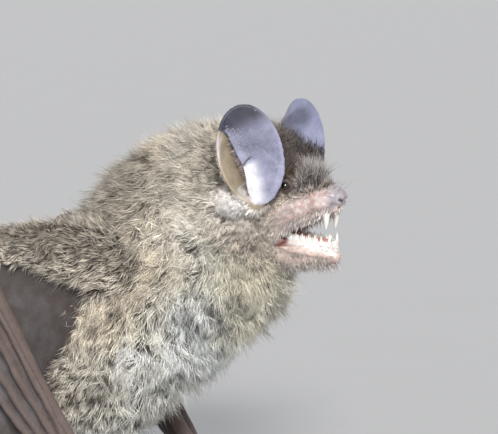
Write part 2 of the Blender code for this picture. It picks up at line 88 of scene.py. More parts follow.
# The coat's depth over the skin at each row of the body.
COAT = (0.5, 1.1, 1.9, 2.3, 2.5, 2.5, 2.3, 2.0, 1.6)
# Where the pieces of the coat end, in rows of the body, and the stretches of its rows that the skins take.
HEAD_END, NECK_END, CHEST_MIDDLE, CHEST_END, COAT_END = 2.15, 3.15, 4.15, 5.3, 8.01
HEAD_SPAN, TRUNK_SPAN = (0.0, 2.45), (1.7, 8.0)

TONGUE = (
    (15.6, 0, 29.9, 0.9, 1.6),
    (17.4, 0, 30.25, 0.75, 1.5),
    (19.4, 0, 30.1, 0.5, 1.2),
    (20.9, 0, 30.15, 0.3, 0.75),
)
# The bare muzzle, with a nose pad that swells at its tip.
MUZZLE = (
    (13.8, 0.0, 34.0, 3.4, 4.0),
    (16.0, 0.0, 34.3, 3.7, 3.7),
    (17.8, 0.0, 34.5, 3.45, 3.2),
    (19.4, 0.0, 34.75, 2.75, 2.65),
    (20.6, 0.0, 35.0, 2.05, 2.1),
    (21.6, 0.0, 35.15, 1.45, 1.6),
    (22.3, 0.0, 35.15, 1.15, 1.35),
)
JAW = (
    (14.0, 0.0, 29.1, 1.9, 3.5),
    (16.0, 0.0, 28.55, 1.65, 3.1),
    (18.0, 0.0, 28.3, 1.3, 2.75),
    (20.4, 0.0, 28.4, 1.1, 2.1),
    (21.9, 0.0, 28.5, 0.95, 1.3),
)
MOUTH_CORNER = (16.4, 30.7)
MOUTH_FRONT_ABOVE = (23.2, 33.7)
MOUTH_FRONT_BELOW = 29.5

EAR_CENTRE = (15.1, 8.5, 40.2)
EAR_FACING = math.radians(20)
EAR_HALF_WIDTH, EAR_HALF_HEIGHT = 3.52, 5.62
EAR_BACKWARD_LEAN, EAR_OUTWARD_LEAN = 0.13, 0.2
EAR_CANAL = (0.2, -3.9)
EAR_DEPTH = 2.5
EAR_VALLEY_ANGLE = math.radians(109)
EAR_VALLEY_DEPTH = 0.8
EAR_REAR_CURL = 1.2
# Where the inner leaf of the ear ends towards the rear: across the ear, at heights in the ear's own plane.
LEAF_EDGE = (
    (0.5, -5.5),
    (-0.25, -4.5),
    (-0.6, -2.5),
    (-0.86, -1.5),
    (-1.45, -0.3),
    (-2.1, 1.2),
    (-2.65, 2.35),
    (-3.3, 2.85),
)
LEAF_RIM_START, LEAF_RIM_END = -1.42, 2.6
EAR_SLIT = ((-0.8, -1.4), (-0.05, -0.55))
PAPILLAE = 460

SHOULDER = (0.0, 5.6, 27.2)
ELBOW = (-16.8, 14.2, 30.0)
WRIST = (1.0, 15.2, 0.95)
THUMB_JOINT = (3.8, 16.6, 0.65)
THUMB_TIP = (5.4, 17.1, 0.45)
HIP = (-11.5, 3.6, 9.2)
KNEE = (-20.8, 13.2, 18.0)
ANKLE = (-26.6, 12.4, 1.35)
FOOT_HEADING = math.radians(128)
FOOT_LENGTH, TOE_LENGTH, TOE_COUNT = 3.4, 4.4, 5
# Along a toe: the share of its length, its height over the floor and its radius.
TOE_ROWS = ((0, 0.5, 0.4), (0.35, 0.62, 0.36), (0.55, 0.5, 0.3), (0.74, 0.42, 0.34))
CLAW_HEIGHT = 0.56
TAIL = (
    (-13.0, 0.0, 6.3, 2.0, 2.2),
    (-15.5, 0.0, 5.4, 1.3, 1.5),
    (-21.0, 0.0, 2.6, 0.9, 1.0),
    (-30.0, 0.0, 0.95, 0.75, 0.8),
    (-45.0, 0.0, 0.6, 0.55, 0.6),
    (-62.0, 0.0, 0.4, 0.38, 0.4),
)
FLANK_AND_LEG = (
    (-4.6, 6.0, 24.6),
    (-8.0, 5.9, 18.2),
    (-12.2, 5.6, 12.6),
    (-17.6, 9.8, 14.6),
    (-21.4, 12.8, 12.6),
    (-25.6, 12.6, 3.4),
)
TAIL_EDGE = (
    (-16.4, 6.0, 9.4),
    (-24.2, 11.6, 7.0),
    (-28.8, 11.4, 2.4),
    (-38.0, 9.8, 1.2),
    (-48.0, 4.6, 0.9),
    (-57.0, 1.9, 0.8),
)


def along(rows, t):
    """The rows read as a smooth curve at each t, which counts rows from 0."""
    rows = np.asarray(rows, float)
    t = np.asarray(t, float)
    last = len(rows) - 1
    i = np.clip(np.floor(t).astype(int), 0, last - 1)
    f = (t - i)[..., None]
    a, b = rows[i], rows[i + 1]
    before, after = rows[np.maximum(i - 1, 0)], rows[np.minimum(i + 2, last)]
    slope_a = np.where((i > 0)[..., None], (b - before) / 2, b - a)
    slope_b = np.where((i + 2 <= last)[..., None], (after - a) / 2, b - a)
    cubic = (2 * f**3 - 3 * f**2 + 1) * a + (f**3 - 2 * f**2 + f) * slope_a
    return cubic + (3 * f**2 - 2 * f**3) * b + (f**3 - f**2) * slope_b


def unit(v):
    """Vectors brought to a length of 1."""
    v = np.asarray(v, float)
    return v / np.maximum(np.linalg.norm(v, axis=-1, keepdims=True), 1e-9)


def smooth_step(start, end, x):
    """A smooth rise from 0 at the start to 1 at the end, which may be the smaller."""
    f = np.clip((x - start) / (end - start), 0, 1)
    return f * f * (3 - 2 * f)


def lump(x, centre, width):
    """1 at the centre, falling to 0 as a bell does."""
    return np.exp(-(((x - centre) / width) ** 2))


def mixed(first, second, share):
    """Two colours, places or directions mixed point by point."""
    share = np.asarray(share, float)[..., None]
    return np.asarray(first, float) * (1 - share) + np.asarray(second, float) * share


def layered(base, *layers):
    """A colour or a direction for each point, with others laid over it one by one, each by its share."""
    for value, share in layers:
        base = mixed(base, value, share)
    return base


def grid_of(first, last, rows, columns):
    """Two shares over a grid. The first runs from one value to another, and the second from 0 to 1."""
    return np.meshgrid(np.linspace(first, last, rows), np.linspace(0, 1, columns), indexing="ij")


# --- Closed shapes, each as points and faces -------------------------------------------------------------


DOME_TURNS = np.radians((22, 45, 66, 82))


def tube(rows, rings, sides=24, domes=(0.8, 0.8), floor=None, span=None):
    """A closed tube of oval section along the rows, or a span of them, with a dome at each end."""
    start, end = span or (0.0, len(rows) - 1.0)
    t = np.linspace(start, end, rings)
    row = along(rows, t)
    ahead, behind = along(rows, np.minimum(t + 0.01, len(rows) - 1)), along(rows, np.maximum(t - 0.01, 0))
    heading = unit(ahead[:, :3] - behind[:, :3])
    across = unit(np.cross(heading, (0, 0, 1)))
    upward = np.cross(across, heading)
    centre, high, wide = row[:, :3], row[:, 3], row[:, 4]

    def dome(end, length):
        """The rings beyond one end: their places, their row and their share of its size."""
        return [(centre[end] + heading[end] * length * math.sin(a), end, math.cos(a)) for a in DOME_TURNS]

    sections = dome(0, -domes[0])[::-1]
    sections += [(centre[i], i, 1.0) for i in range(rings)]
    sections += dome(-1, domes[1])
    angles = ring_angles(sides)
    points = []
    for place, i, size in sections:
        ring = across[i] * (wide[i] * size * np.cos(angles))[:, None]
        points.append(place + ring + upward[i] * (high[i] * size * np.sin(angles))[:, None])
    points = np.concatenate(points)
    if floor is not None:
        points[:, 2] = np.maximum(points[:, 2], floor)
    return points, stack_faces(len(sections), sides)


def ring_angles(sides):
    """The angles of the points round a ring."""
    return np.linspace(0, 2 * np.pi, sides, endpoint=False)


def ring_faces(count, sides):
    """The faces between rings of points that follow each other."""
    faces = []
    for r in range(count - 1):
        for k in range(sides):
            after = (k + 1) % sides
            faces.append((r * sides + k, r * sides + after, (r + 1) * sides + after, (r + 1) * sides + k))
    return faces


def stack_faces(count, sides):
    """The faces of a stack of rings that is closed at both ends."""
    last = (count - 1) * sides
    return ring_faces(count, sides) + [tuple(range(sides))[::-1], tuple(range(last, last + sides))]


def limb(ends, radii, bow=(0, 0, 0)):
    """The rows of a limb that bows between its two ends."""
    first, last = np.array(ends[0], float), np.array(ends[1], float)
    rows = []
    for i, radius in enumerate(radii):
        f = i / (len(radii) - 1)
        place = first + (last - first) * f + np.array(bow) * math.sin(math.pi * f)
        rows.append((*place, radius, radius))
    return rows


def thick(grid, thickness, normal=None, floor=None):
    """A closed sheet round a grid of points. Its thickness may change over the grid."""
    grid = np.asarray(grid, float)
    rows, columns = grid.shape[:2]
    if normal is None:
        normal = unit(np.cross(np.gradient(grid, axis=0), np.gradient(grid, axis=1)))
    half = np.broadcast_to(np.asarray(thickness, float), (rows, columns))[..., None] / 2
    points = np.concatenate([(grid + normal * half).reshape(-1, 3), (grid - normal * half).reshape(-1, 3)])
    if floor is not None:
        points[:, 2] = np.maximum(points[:, 2], floor)
    total = rows * columns
    faces = []
    for i in range(rows - 1):
        for j in range(columns - 1):
            a = i * columns + j
            b, c, d = a + 1, a + columns, a + columns + 1
            faces += [(a, b, d, c), (a + total, c + total, d + total, b + total)]
    edge = [(0, j) for j in range(columns)] + [(i, columns - 1) for i in range(1, rows)]
    edge += [(rows - 1, j) for j in range(columns - 2, -1, -1)] + [(i, 0) for i in range(rows - 2, 0, -1)]
    loop = [i * columns + j for i, j in edge]
    for k, a in enumerate(loop):
        b = loop[(k + 1) % len(loop)]
        faces.append((a, a + total, b + total, b))
    return points, faces


def ball(centre, radii, turn=0.0, sides=24):
    """An ellipsoid, turned about the upright axis."""
    rings = np.linspace(-np.pi / 2, np.pi / 2, sides // 2 + 1)[1:-1]
    angles = ring_angles(sides)
    points = [(0, 0, -1)]
    for r in rings:
        points += [(math.cos(r) * math.cos(a), math.cos(r) * math.sin(a), math.sin(r)) for a in angles]
    points.append((0, 0, 1))
    points = np.array(points) * np.asarray(radii, float)
    spin = np.array(((math.cos(turn), -math.sin(turn), 0), (math.sin(turn), math.cos(turn), 0), (0, 0, 1)))
    faces = [tuple(v + 1 for v in face) for face in ring_faces(len(rings), sides)]
    top = len(points) - 1
    for k in range(sides):
        after = (k + 1) % sides
        faces += [(0, 1 + after, 1 + k), (top, top - sides + k, top - sides + after)]
    return points @ spin.T + np.asarray(centre, float), faces


def mirror(shape):
    """The same shape on the right side."""
    points, faces = shape
    return points * (1, -1, 1), [face[::-1] for face in faces]


def both(shape):
    """A shape of the left side and its mirror."""
    return [shape, mirror(shape)]


def joined(shapes):
    """Several shapes as one."""
    points, faces, first = [], [], 0
    for some_points, some_faces in shapes:
        points.append(np.asarray(some_points, float))
        faces += [tuple(v + first for v in face) for face in some_faces]
        first += len(some_points)
    return np.concatenate(points), faces


# --- From shapes to meshes -------------------------------------------------------------------------------


def placed(name, data):
    """A new object of the scene."""
    obj = bpy.data.objects.new(name, data)
    bpy.context.scene.collection.objects.link(obj)
    return obj


def scratch_object(shapes):
    """One object, in millimetres, of several closed shapes."""
    points, faces = joined(shapes)
    mesh = bpy.data.meshes.new("scratch")
    mesh.from_pydata(points.tolist(), [], faces)
    return placed("scratch", mesh)


def taken_mesh(obj):
    """The points and four-sided faces of an object after its modifiers. The object is removed."""
    graph = bpy.context.evaluated_depsgraph_get()
    mesh = bpy.data.meshes.new_from_object(obj.evaluated_get(graph), depsgraph=graph)
    points = np.empty(len(mesh.vertices) * 3)
    mesh.vertices.foreach_get("co", points)
    faces = [tuple(p.vertices) for p in mesh.polygons]
    bpy.data.objects.remove(obj)
    bpy.data.meshes.remove(mesh)
    return points.reshape(-1, 3), faces


def merged(shapes, voxel):
    """The shapes grown together into one closed surface of small four-sided faces."""
    obj = scratch_object(shapes)
    remesh = obj.modifiers.new("merge", "REMESH")
    remesh.mode = "VOXEL"
    remesh.voxel_size = voxel
    return taken_mesh(obj)


def cut(shape, cutter):
    """What is left of a shape outside the cutter."""
    obj, other = scratch_object([shape]), scratch_object([cutter])
    other.hide_render = True
    boolean = obj.modifiers.new("cut", "BOOLEAN")
    boolean.operation = "DIFFERENCE"
    boolean.solver = "EXACT"
    boolean.object = other
    result = taken_mesh(obj)
    bpy.data.objects.remove(other)
    return result


def edges_of(faces):
    """Each edge of four-sided faces once, as two numbers of points."""
    faces = np.asarray(faces)
    pairs = np.concatenate([np.stack((faces[:, k], faces[:, (k + 1) % 4]), 1) for k in range(4)])
    return np.unique(np.sort(pairs, axis=1), axis=0)


def averaged(values, edges):
    """For each point the mean of its neighbours."""
    count = np.bincount(edges.ravel(), minlength=len(values)).clip(1)
    result = np.empty_like(values)
    for c in range(values.shape[1]):
        total = np.bincount(edges[:, 0], values[edges[:, 1], c], len(values))
        total += np.bincount(edges[:, 1], values[edges[:, 0], c], len(values))
        result[:, c] = total / count
    return result


def relaxed(points, edges, times, share=0.5):
    """Smooths a surface, then swells it back, so that thin parts don't shrink."""
    for _ in range(times):
        points = points + share * (averaged(points, edges) - points)
        points = points - share * 1.04 * (averaged(points, edges) - points)
    return points


def point_normals(points, faces):
    """The surface's outward direction at each point."""
    corner = points[faces]
    normal = np.cross(corner[:, 2] - corner[:, 0], corner[:, 3] - corner[:, 1])
    total = np.zeros_like(points)
    for k in range(4):
        for c in range(3):
            total[:, c] += np.bincount(faces[:, k], normal[:, c], len(points))
    return unit(total)


def noise(points, size, seed=0):
    """Smooth random values from -1 to 1 over space, in lumps of the given size."""
    lattice = np.random.default_rng(seed).uniform(-1, 1, (32, 32, 32))
    place = np.asarray(points, float) / size + 7.31 * (seed + 1)
    cell = np.floor(place).astype(int)
    f = place - cell
    f = f * f * (3 - 2 * f)
    value = np.zeros(len(place))
    for corner in np.ndindex(2, 2, 2):
        weight = np.prod(np.where(corner, f, 1 - f), axis=1)
        index = (cell + corner) % 32
        value += weight * lattice[index[:, 0], index[:, 1], index[:, 2]]
    return value * 1.6


def add_mesh(name, points, faces, material):
    """An object in the row's frame from points in millimetres and faces as a list or one array."""
    mesh = bpy.data.meshes.new(name)
    points = (np.asarray(points, float) + SHIFT) * MM
    sizes = np.array([len(face) for face in faces])
    corners = np.concatenate(faces)
    mesh.vertices.add(len(points))
    mesh.vertices.foreach_set("co", points.astype(np.float32).ravel())
    mesh.loops.add(len(corners))
    mesh.loops.foreach_set("vertex_index", corners.astype(np.int32))
    mesh.polygons.add(len(sizes))
    mesh.polygons.foreach_set("loop_start", np.concatenate([[0], np.cumsum(sizes)[:-1]]).astype(np.int32))
    mesh.update(calc_edges=True)
    mesh.shade_smooth()
    mesh.materials.append(material)
    obj = placed(name, mesh)
    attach(obj, "root")
    return obj


def give(obj, name, values, kind="FLOAT"):
    """Stores a value or a colour for each point of an object."""
    values = np.asarray(values, np.float32)
    if kind == "FLOAT_COLOR":
        values = np.concatenate([values, np.ones((len(values), 1), np.float32)], axis=1)
    attribute = obj.data.attributes.new(name, kind, "POINT")
    attribute.data.foreach_set("color" if kind == "FLOAT_COLOR" else "value", values.ravel())


# --- The ears --------------------------------------------------------------------------------------------


EAR_OUT = np.array((math.sin(EAR_FACING), math.cos(EAR_FACING), 0.0))
EAR_FORWARD = np.array((math.cos(EAR_FACING), -math.sin(EAR_FACING), 0.0))
EAR_UP = unit(np.array((0, 0, 1.0)) + EAR_OUTWARD_LEAN * EAR_OUT)


def ear_place(a, b, out):
    """Points of the left ear: a forward and b up in its own plane, and out towards its opening."""
    a, b, out = (np.asarray(v, float)[..., None] for v in (a, b, out))
    return np.array(EAR_CENTRE) + a * EAR_FORWARD + b * EAR_UP + out * EAR_OUT


def in_ear_plane(left):
    """The places of points of the left side as a, b and out."""
    local = left - EAR_CENTRE
    return local @ EAR_FORWARD, (local @ EAR_UP) / (EAR_UP @ EAR_UP), local @ EAR_OUT


KNOB = ear_place(-2.0, -5.5, -1.3)


def ear_rim(angle):
    """The rim's place in the ear's own plane."""
    b = EAR_HALF_HEIGHT * np.sin(angle)
    return EAR_HALF_WIDTH * np.cos(angle) - EAR_BACKWARD_LEAN * b, b


def ear_cup(reach, angle):
    """Points of the cup. Reach is 0 at the canal and 1 at the rim."""
    rim_a, rim_b = ear_rim(angle)
    a = EAR_CANAL[0] * (1 - reach) + rim_a * reach
    b = EAR_CANAL[1] * (1 - reach) + rim_b * reach
    ray = np.arctan2(rim_b - EAR_CANAL[1], rim_a - EAR_CANAL[0])
    off_valley = (ray - EAR_VALLEY_ANGLE + np.pi) % (2 * np.pi) - np.pi
    rearward = np.maximum(0.0, -np.cos(angle))
    out = -EAR_DEPTH * (1 - reach**1.6)
    out -= EAR_VALLEY_DEPTH * lump(off_valley, 0, 0.4) * np.sin(np.pi * reach)
    out += EAR_REAR_CURL * rearward**1.5 * reach**2
    return ear_place(a, b, out)


def ear_shell():
    """The cup and its back, thinner towards the rim."""
    reach, turn = grid_of(0.03, 1, 44, 145)
    cup = ear_cup(reach, 2 * np.pi * turn)
    normal = unit(np.cross(np.gradient(cup, axis=0), np.gradient(cup, axis=1)))
    normal *= np.sign((normal * EAR_OUT).sum(axis=2, keepdims=True))
    thickness = 0.5 - 0.2 * reach**3
    return thick(cup - normal * (thickness / 2)[..., None], thickness, normal)


def leaf_grid(rows=90, columns=50):
    """The smooth inner leaf of the ear, from its free rear edge to the front rim."""
    t, s = grid_of(0, 1, rows, columns)
    angle = LEAF_RIM_START + t * (LEAF_RIM_END - LEAF_RIM_START)
    free = along(LEAF_EDGE, t * (len(LEAF_EDGE) - 1))
    rim = np.stack(ear_rim(angle), axis=-1)
    a, b = np.moveaxis(mixed(free, rim, s), -1, 0)
    depth = 1.3 * lump(b, -0.8, 4.0) * smooth_step(2.6, 0.2, b) * (1 - s**1.7)
    depth -= 0.5 * lump(s, 0.0, 0.1) * lump(b, 0.5, 2.6)
    lobe = smooth_step(-0.9, -1.7, b - 1.5 * s) * smooth_step(0.95, 0.55, s)
    fold = lump(b - 1.5 * s, -1.1, 0.16) * smooth_step(0.42, 0.12, s)
    curl = EAR_REAR_CURL * np.maximum(0.0, -np.cos(angle)) ** 1.5 * s**2
    out = curl - 0.12 - depth - 0.55 * fold + 0.35 * lobe * (1 + lump(b, -3.6, 1.3))
    return a, b, out, lobe


def ear_leaf():
    """The inner leaf as a closed shape."""
    a, b, out, _ = leaf_grid()
    return thick(ear_place(a, b, out), 0.34)


# --- The skin --------------------------------------------------------------------------------------------


HEAD_VOXEL, BODY_VOXEL = 0.13, 0.3
SKIN_BODY = tuple((x, y, z, high - c, wide - 0.9 * c) for (x, y, z, high, wide), c in zip(BODY, COAT))
UPPER_ARM = limb((SHOULDER, ELBOW), (3.0, 2.7, 2.0, 1.5), (0, 0.4, 0.8))
FOREARM = limb((ELBOW, WRIST), (1.55, 1.4, 1.05, 0.85, 1.0), (-0.6, 0.5, 0))
THUMB = ((*WRIST, 0.75, 0.75), (*THUMB_JOINT, 0.55, 0.55), (*THUMB_TIP, 0.36, 0.34))
THIGH = limb((HIP, KNEE), (2.3, 1.7, 1.2, 1.0), (0, 0, 0.6))
SHIN = limb((KNEE, ANKLE), (1.0, 0.85, 0.65, 0.7), (-0.5, 0, 0))


def mouth_opening():
    """A wedge from the corners of the mouth out past the lips."""
    corner, above, below = MOUTH_CORNER, MOUTH_FRONT_ABOVE, MOUTH_FRONT_BELOW
    points = []
    for share in (0.0, 0.35, 1.0, 1.4):
        lift = 0.12 * (1 - share) + 0.35 * math.sin(math.pi * min(share, 1.0))
        x = corner[0] + (above[0] - corner[0]) * share
        top = corner[1] + lift + (above[1] - corner[1]) * share
        bottom = corner[1] - 0.12 + (below - corner[1]) * share
        points += [(x, y * 9.0, z) for y, z in ((-1, bottom), (1, bottom), (1, top), (-1, top))]
    return np.array(points, float), stack_faces(4, 4)


def lip_line(share, lower=False):
    """The edge of the upper or lower lip on the left, from the corner of the mouth to the front."""
    share = np.asarray(share, float)
    if lower:
        x = MOUTH_CORNER[0] + (22.0 - MOUTH_CORNER[0]) * share
        z = 30.5 - 1.45 * np.sqrt(share) + 0.1 * share
        y = 2.8 * np.sqrt(np.clip(1 - (0.93 * share) ** 2.6, 0, 1))
        return np.stack((x, y, z), axis=-1)
    x = MOUTH_CORNER[0] + (22.7 - MOUTH_CORNER[0]) * share
    z = MOUTH_CORNER[1] + 0.2 + 2.95 * share + 0.3 * np.sin(np.pi * share)
    y = 3.25 * (1 - share) ** 0.75 + 0.75 * share**0.5 + 0.55 * np.sin(np.pi * share)
    return np.stack((x, y, z), axis=-1)


def bead(line, radius):
    """A round-ended roll along a line of points."""
    rows = [(*place, radius, radius) for place in line]
    return tube(rows, 3 * len(rows), 12, domes=(radius, radius))


def head_shapes():
    """The closed shapes that the skin of the head is grown from."""
    upper = merged(
        [
            tube(SKIN_BODY, 26, 40, domes=(1.3, 2.2), span=HEAD_SPAN),
            tube(MUZZLE, 24, 32, domes=(1.0, 1.0)),
            *both(ball((22.55, 0.52, 35.05), (0.85, 0.8, 0.98))),
            ball((21.9, 0, 35.75), (1.2, 1.05, 0.75)),
            *both(ball((20.0, 1.55, 34.2), (2.2, 0.95, 1.1))),
            *both(ball((17.9, 2.6, 33.2), (1.9, 0.95, 1.3))),
        ],
        HEAD_VOXEL,
    )
    lower_lip = lip_line(np.linspace(0.02, 1.0, 9), lower=True) * (1, 0.95, 1)
    lower_gum = lip_line(np.linspace(0.16, 0.97, 8), lower=True) * (1, 0.8, 1)
    gum_rise = np.linspace((0, 0, 0.6), (0, 0, 1.0), 8)
    left = [
        bead(lip_line(np.linspace(0.02, 0.97, 9)), 0.27),
        bead(lower_lip - (0, 0, 0.2), 0.2),
        bead(lower_lip - (0, 0, 0.6), 0.36),
        bead(lip_line(np.linspace(0.12, 0.95, 8)) * (1, 0.72, 1) + (0, 0, 0.1), 0.3),
        bead(lower_gum + 0.1 * gum_rise, 0.42),
        bead(lower_gum + 0.7 * gum_rise, 0.36),
        ear_shell(),
        ear_leaf(),
        ball(KNOB, (1.7, 1.25, 1.35), -EAR_FACING),
        ball(ear_place(0.4, -5.3, -2.2), (1.6, 2.3, 1.7), -EAR_FACING),
        ball(ear_place(0.6, -2.2, -4.3), (2.6, 2.3, 3.2), -EAR_FACING),
        ball((EYE_CENTRE[0] - 0.1, 3.5, EYE_CENTRE[2]), (1.0, 0.85, 0.8)),
    ]
    shapes = [cut(upper, mouth_opening()), tube(JAW, 20, 28, domes=(0.8, 0.85))]
    for shape in left:
        shapes += both(shape)
    return shapes


def folded_fingers():
    """The long fingers of the left hand folded back along the forearm, and the pleated wing between."""
    wrist, elbow = np.array(WRIST), np.array(ELBOW)
    up_arm = unit(elbow - wrist)
    outward = unit(np.cross(up_arm, (1, 0.15, 0.6)))
    outward = outward if outward[1] > 0 else -outward
    rearward = unit(np.cross(outward, up_arm))
    rearward = rearward if rearward[0] < 0 else -rearward
    length = np.linalg.norm(elbow - wrist) * 1.02
    s, w = grid_of(0.05, 1.0, 60, 61)
    width = 1.2 + 5.2 * np.sin(np.minimum(s, 0.8) / 0.8 * np.pi / 2)
    taper = 0.12 + 0.88 * np.sqrt(np.clip(1 - np.maximum(0.0, (s - 0.72) / 0.285) ** 2, 0, 1))
    pleat = 0.36 * np.minimum(1.0, (width * taper / 5.5) ** 2) * np.cos(w * 6 * np.pi)
    sideways = width * (0.38 + (w - 0.5) * taper)
    stack = 2.2 - 0.5 * s + pleat
    grid = wrist + np.stack((length * s, sideways, stack), axis=-1) @ np.array((up_arm, rearward, outward))
    shapes = [thick(grid, 0.42, floor=0.25)]
    for column, radius, end in ((1, 0.5, 57), (20, 0.42, 59), (40, 0.38, 55), (59, 0.34, 48)):
        line = grid[0:end:4, column] + outward * 0.12
        joints = 0.1 * lump(np.arange(len(line)), len(line) * 0.45, 0.6)
        thin = np.linspace(1.0, 0.55, len(line))
        rows = np.column_stack((line, radius * thin + joints, radius * thin + joints))
        rows[:, 2] = np.maximum(rows[:, 2], 0.45)
        rows = np.vstack(([*(wrist + outward * 0.3), 0.55, 0.55], rows))
        shapes.append(tube(rows, 3 * len(rows), 12, domes=(0.3, 0.3)))
    return shapes


def side_membrane():
    """The wing between forearm, flank and leg on the left, slack and pleated."""
    arm = np.array(limb((ELBOW, WRIST), (1, 1, 1), (-0.6, 0.5, 0)))
    u, v = grid_of(0, 1, 64, 76)
    inward = np.cos(u * np.pi / 2)
    front = along(arm, 2 * 0.74 * u)[..., :3]
    front = front + np.stack((-1.5 + 1.3 * inward, -0.5 - 0.3 * inward, -0.5 + 0 * u), axis=-1)
    rear = along(FLANK_AND_LEG, (len(FLANK_AND_LEG) - 1) * u)
    outward = unit(np.stack((0.5 * inward, 1 + 0 * u, 0.5 * inward), axis=-1))
    pleat = 0.5 * np.sin(v * 5 * np.pi) * u + 0.09 * np.sin(v * 23 * np.pi + 3 * u) * u
    swell = np.sin(np.pi * v)
    grid = mixed(front, rear, v) + outward * (pleat + 0.6 * swell)[..., None]
    grid[..., 2] -= 1.6 * swell * u
    return [thick(grid, 0.42), bead(grid[-1, ::3], 0.27)]


def tail_membrane():
    """The left half of the membrane that runs from the leg to the tip of the tail."""
    u, v = grid_of(0, 1, 90, 46)
    inner = along(TAIL, 1.1 + 3.72 * u)[..., :3] + (0, 0, 0.1)
    outer = along(TAIL_EDGE, (len(TAIL_EDGE) - 1) * u)
    grid = mixed(inner, outer, v)
    reach = np.minimum(1.0, (np.linalg.norm(outer - inner, axis=-1) / 8) ** 2)
    grid[..., 2] += reach * (0.3 * np.sin(v * 4 * np.pi) + 0.07 * np.sin(v * 18 * np.pi + 9 * u))
    grid[..., 2] += 0.7 * np.sin(np.pi * v) * (1 - u)
    grid[..., 2] = np.maximum(grid[..., 2], 0.32)
    return [thick(grid, 0.4), bead(outer[::5, 0], 0.24)]


def foot_shapes():
    """The left foot: ankle, sole and five toes with their pads."""
    ankle = np.array(ANKLE)
    heading = np.array((math.cos(FOOT_HEADING), math.sin(FOOT_HEADING), 0))
    across = np.cross(heading, (0, 0, 1))
    ball_of_foot = ankle + heading * FOOT_LENGTH
    sole = [
        (*(ankle - heading * 0.6), 0.85, 0.85),
        (*(ankle + heading * 1.6 - (0, 0, 0.4)), 0.68, 1.05),
        (*(ball_of_foot - (0, 0, 0.8)), 0.52, 1.4),
    ]
    shapes, claws = [tube(sole, 10, 16, floor=0.02)], []
    for k in range(TOE_COUNT):
        spread = (k - (TOE_COUNT - 1) / 2) / TOE_COUNT
        direction = unit(heading + across * spread * 0.75)
        root = ball_of_foot - heading * 0.5 + across * spread * 3.2
        rows = []
        for share, height, radius in TOE_ROWS:
            x, y, _ = root + direction * TOE_LENGTH * share
            rows.append((x, y, height, radius, radius))
        shapes.append(tube(rows, 12, 12, domes=(0.3, 0.25), floor=0.02))
        claws.append((np.array((x, y, CLAW_HEIGHT)), direction))
    return shapes, claws


FOOT_SHAPES, FOOT_CLAWS = foot_shapes()


def body_shapes():
    """The closed shapes that the skin of the trunk, limbs, wings and tail is grown from."""
    shapes = [tube(SKIN_BODY, 60, 44, domes=(0.5, 1.4), span=TRUNK_SPAN), tube(TAIL, 60, 16, floor=0.05)]
    left = [
        tube(UPPER_ARM, 24, 20),
        tube(FOREARM, 30, 18, floor=0.02),
        tube(THUMB, 16, 14, floor=0.02, domes=(0.5, 0.3)),
        tube(THIGH, 20, 18),
        tube(SHIN, 22, 16),
        ball(np.array(WRIST) + (0.3, 0.2, 0.1), (1.15, 0.95, 0.9)),
        ball(ELBOW, (1.5, 1.45, 1.5)),
        ball(KNEE, (1.15, 1.05, 1.1)),
        *side_membrane(),
        *folded_fingers(),
        *tail_membrane(),
        *FOOT_SHAPES,
    ]
    for shape in left:
        shapes += both(shape)
    return shapes


def dab(points, normals, centre, radius, amount, ring=0.0):
    """Presses in or raises a soft spot on both sides of the head. The ring is how much its border rises."""
    far = np.linalg.norm(folded_left(points) - centre, axis=1) / radius
    push = amount * np.exp(-(far**2)) + ring * lump(far, 1.6, 0.45)
    return points + normals * push[:, None]


FUR_ROOT_SKIN = (0.16, 0.135, 0.11)
CROWN_SKIN = (0.11, 0.08, 0.065)
PINK = (0.43, 0.315, 0.295)
PALE_PINK = (0.60, 0.52, 0.51)
LIP_SPOT = (0.42, 0.16, 0.13)
NOSE_GREY = (0.36, 0.345, 0.385)
# Painted shade inside the nostrils.
NOSTRIL_SHADE = (0.03, 0.015, 0.015)
CHEEK_SKIN = (0.50, 0.425, 0.38)
JAW_SKIN = (0.60, 0.46, 0.41)
CHIN_PINK = (0.60, 0.38, 0.34)
# The lower jaw's ridge: pale gum, partly a painted highlight.
JAW_RIDGE_PALE_AND_LIT = (0.80, 0.74, 0.72)
GUM = (0.80, 0.66, 0.62)
# The mouth's lining, darkened as painted shade inside the mouth.
MOUTH_LINING_SHADED = (0.165, 0.06, 0.05)
EYELID = (0.08, 0.05, 0.045)
LILAC = (0.265, 0.268, 0.375)
# Painted shade on the top of the ear's inner leaf, where it turns away from the light.
LEAF_TOP_SHADE = (0.062, 0.063, 0.088)
# Painted highlights along the leaf's free rear edge and along its front rim.
LEAF_REAR_HIGHLIGHT = (0.40, 0.40, 0.52)
LEAF_FRONT_HIGHLIGHT = (0.36, 0.36, 0.50)
# The lobe low in the ear: mostly a painted highlight, over skin a little paler than the leaf.
EAR_LOBE_PALE_AND_LIT = (0.74, 0.73, 0.79)
# The inner rear wall of the cup: partly the skin's own tan, partly painted shade warmed as by light through
# the thin ear.
EAR_TAN_AND_SHADE = (0.42, 0.35, 0.25)
# Painted shade, darker deeper in the cup.
EAR_DEEP_SHADE = (0.30, 0.24, 0.18)
# The ear's rear rim: pale skin, partly a painted highlight.
EAR_RIM_PALE_AND_LIT = (0.66, 0.58, 0.60)
EAR_BACK = (0.225, 0.235, 0.35)
EAR_BACK_DARK = (0.12, 0.125, 0.185)
# The lower back of each ear: dark fur, darkened further as painted shadow of the other ear.
EAR_BACK_FUR_AND_SHADOW = (0.05, 0.036, 0.03)
# Painted shadow along the small fold low on the leaf.
EAR_SLIT_SHADOW = (0.07, 0.06, 0.06)
PAPILLA_LILAC = (0.48, 0.48, 0.61)
KNOB_SKIN = (0.72, 0.68, 0.67)
WING_BROWN = (0.072, 0.058, 0.055)
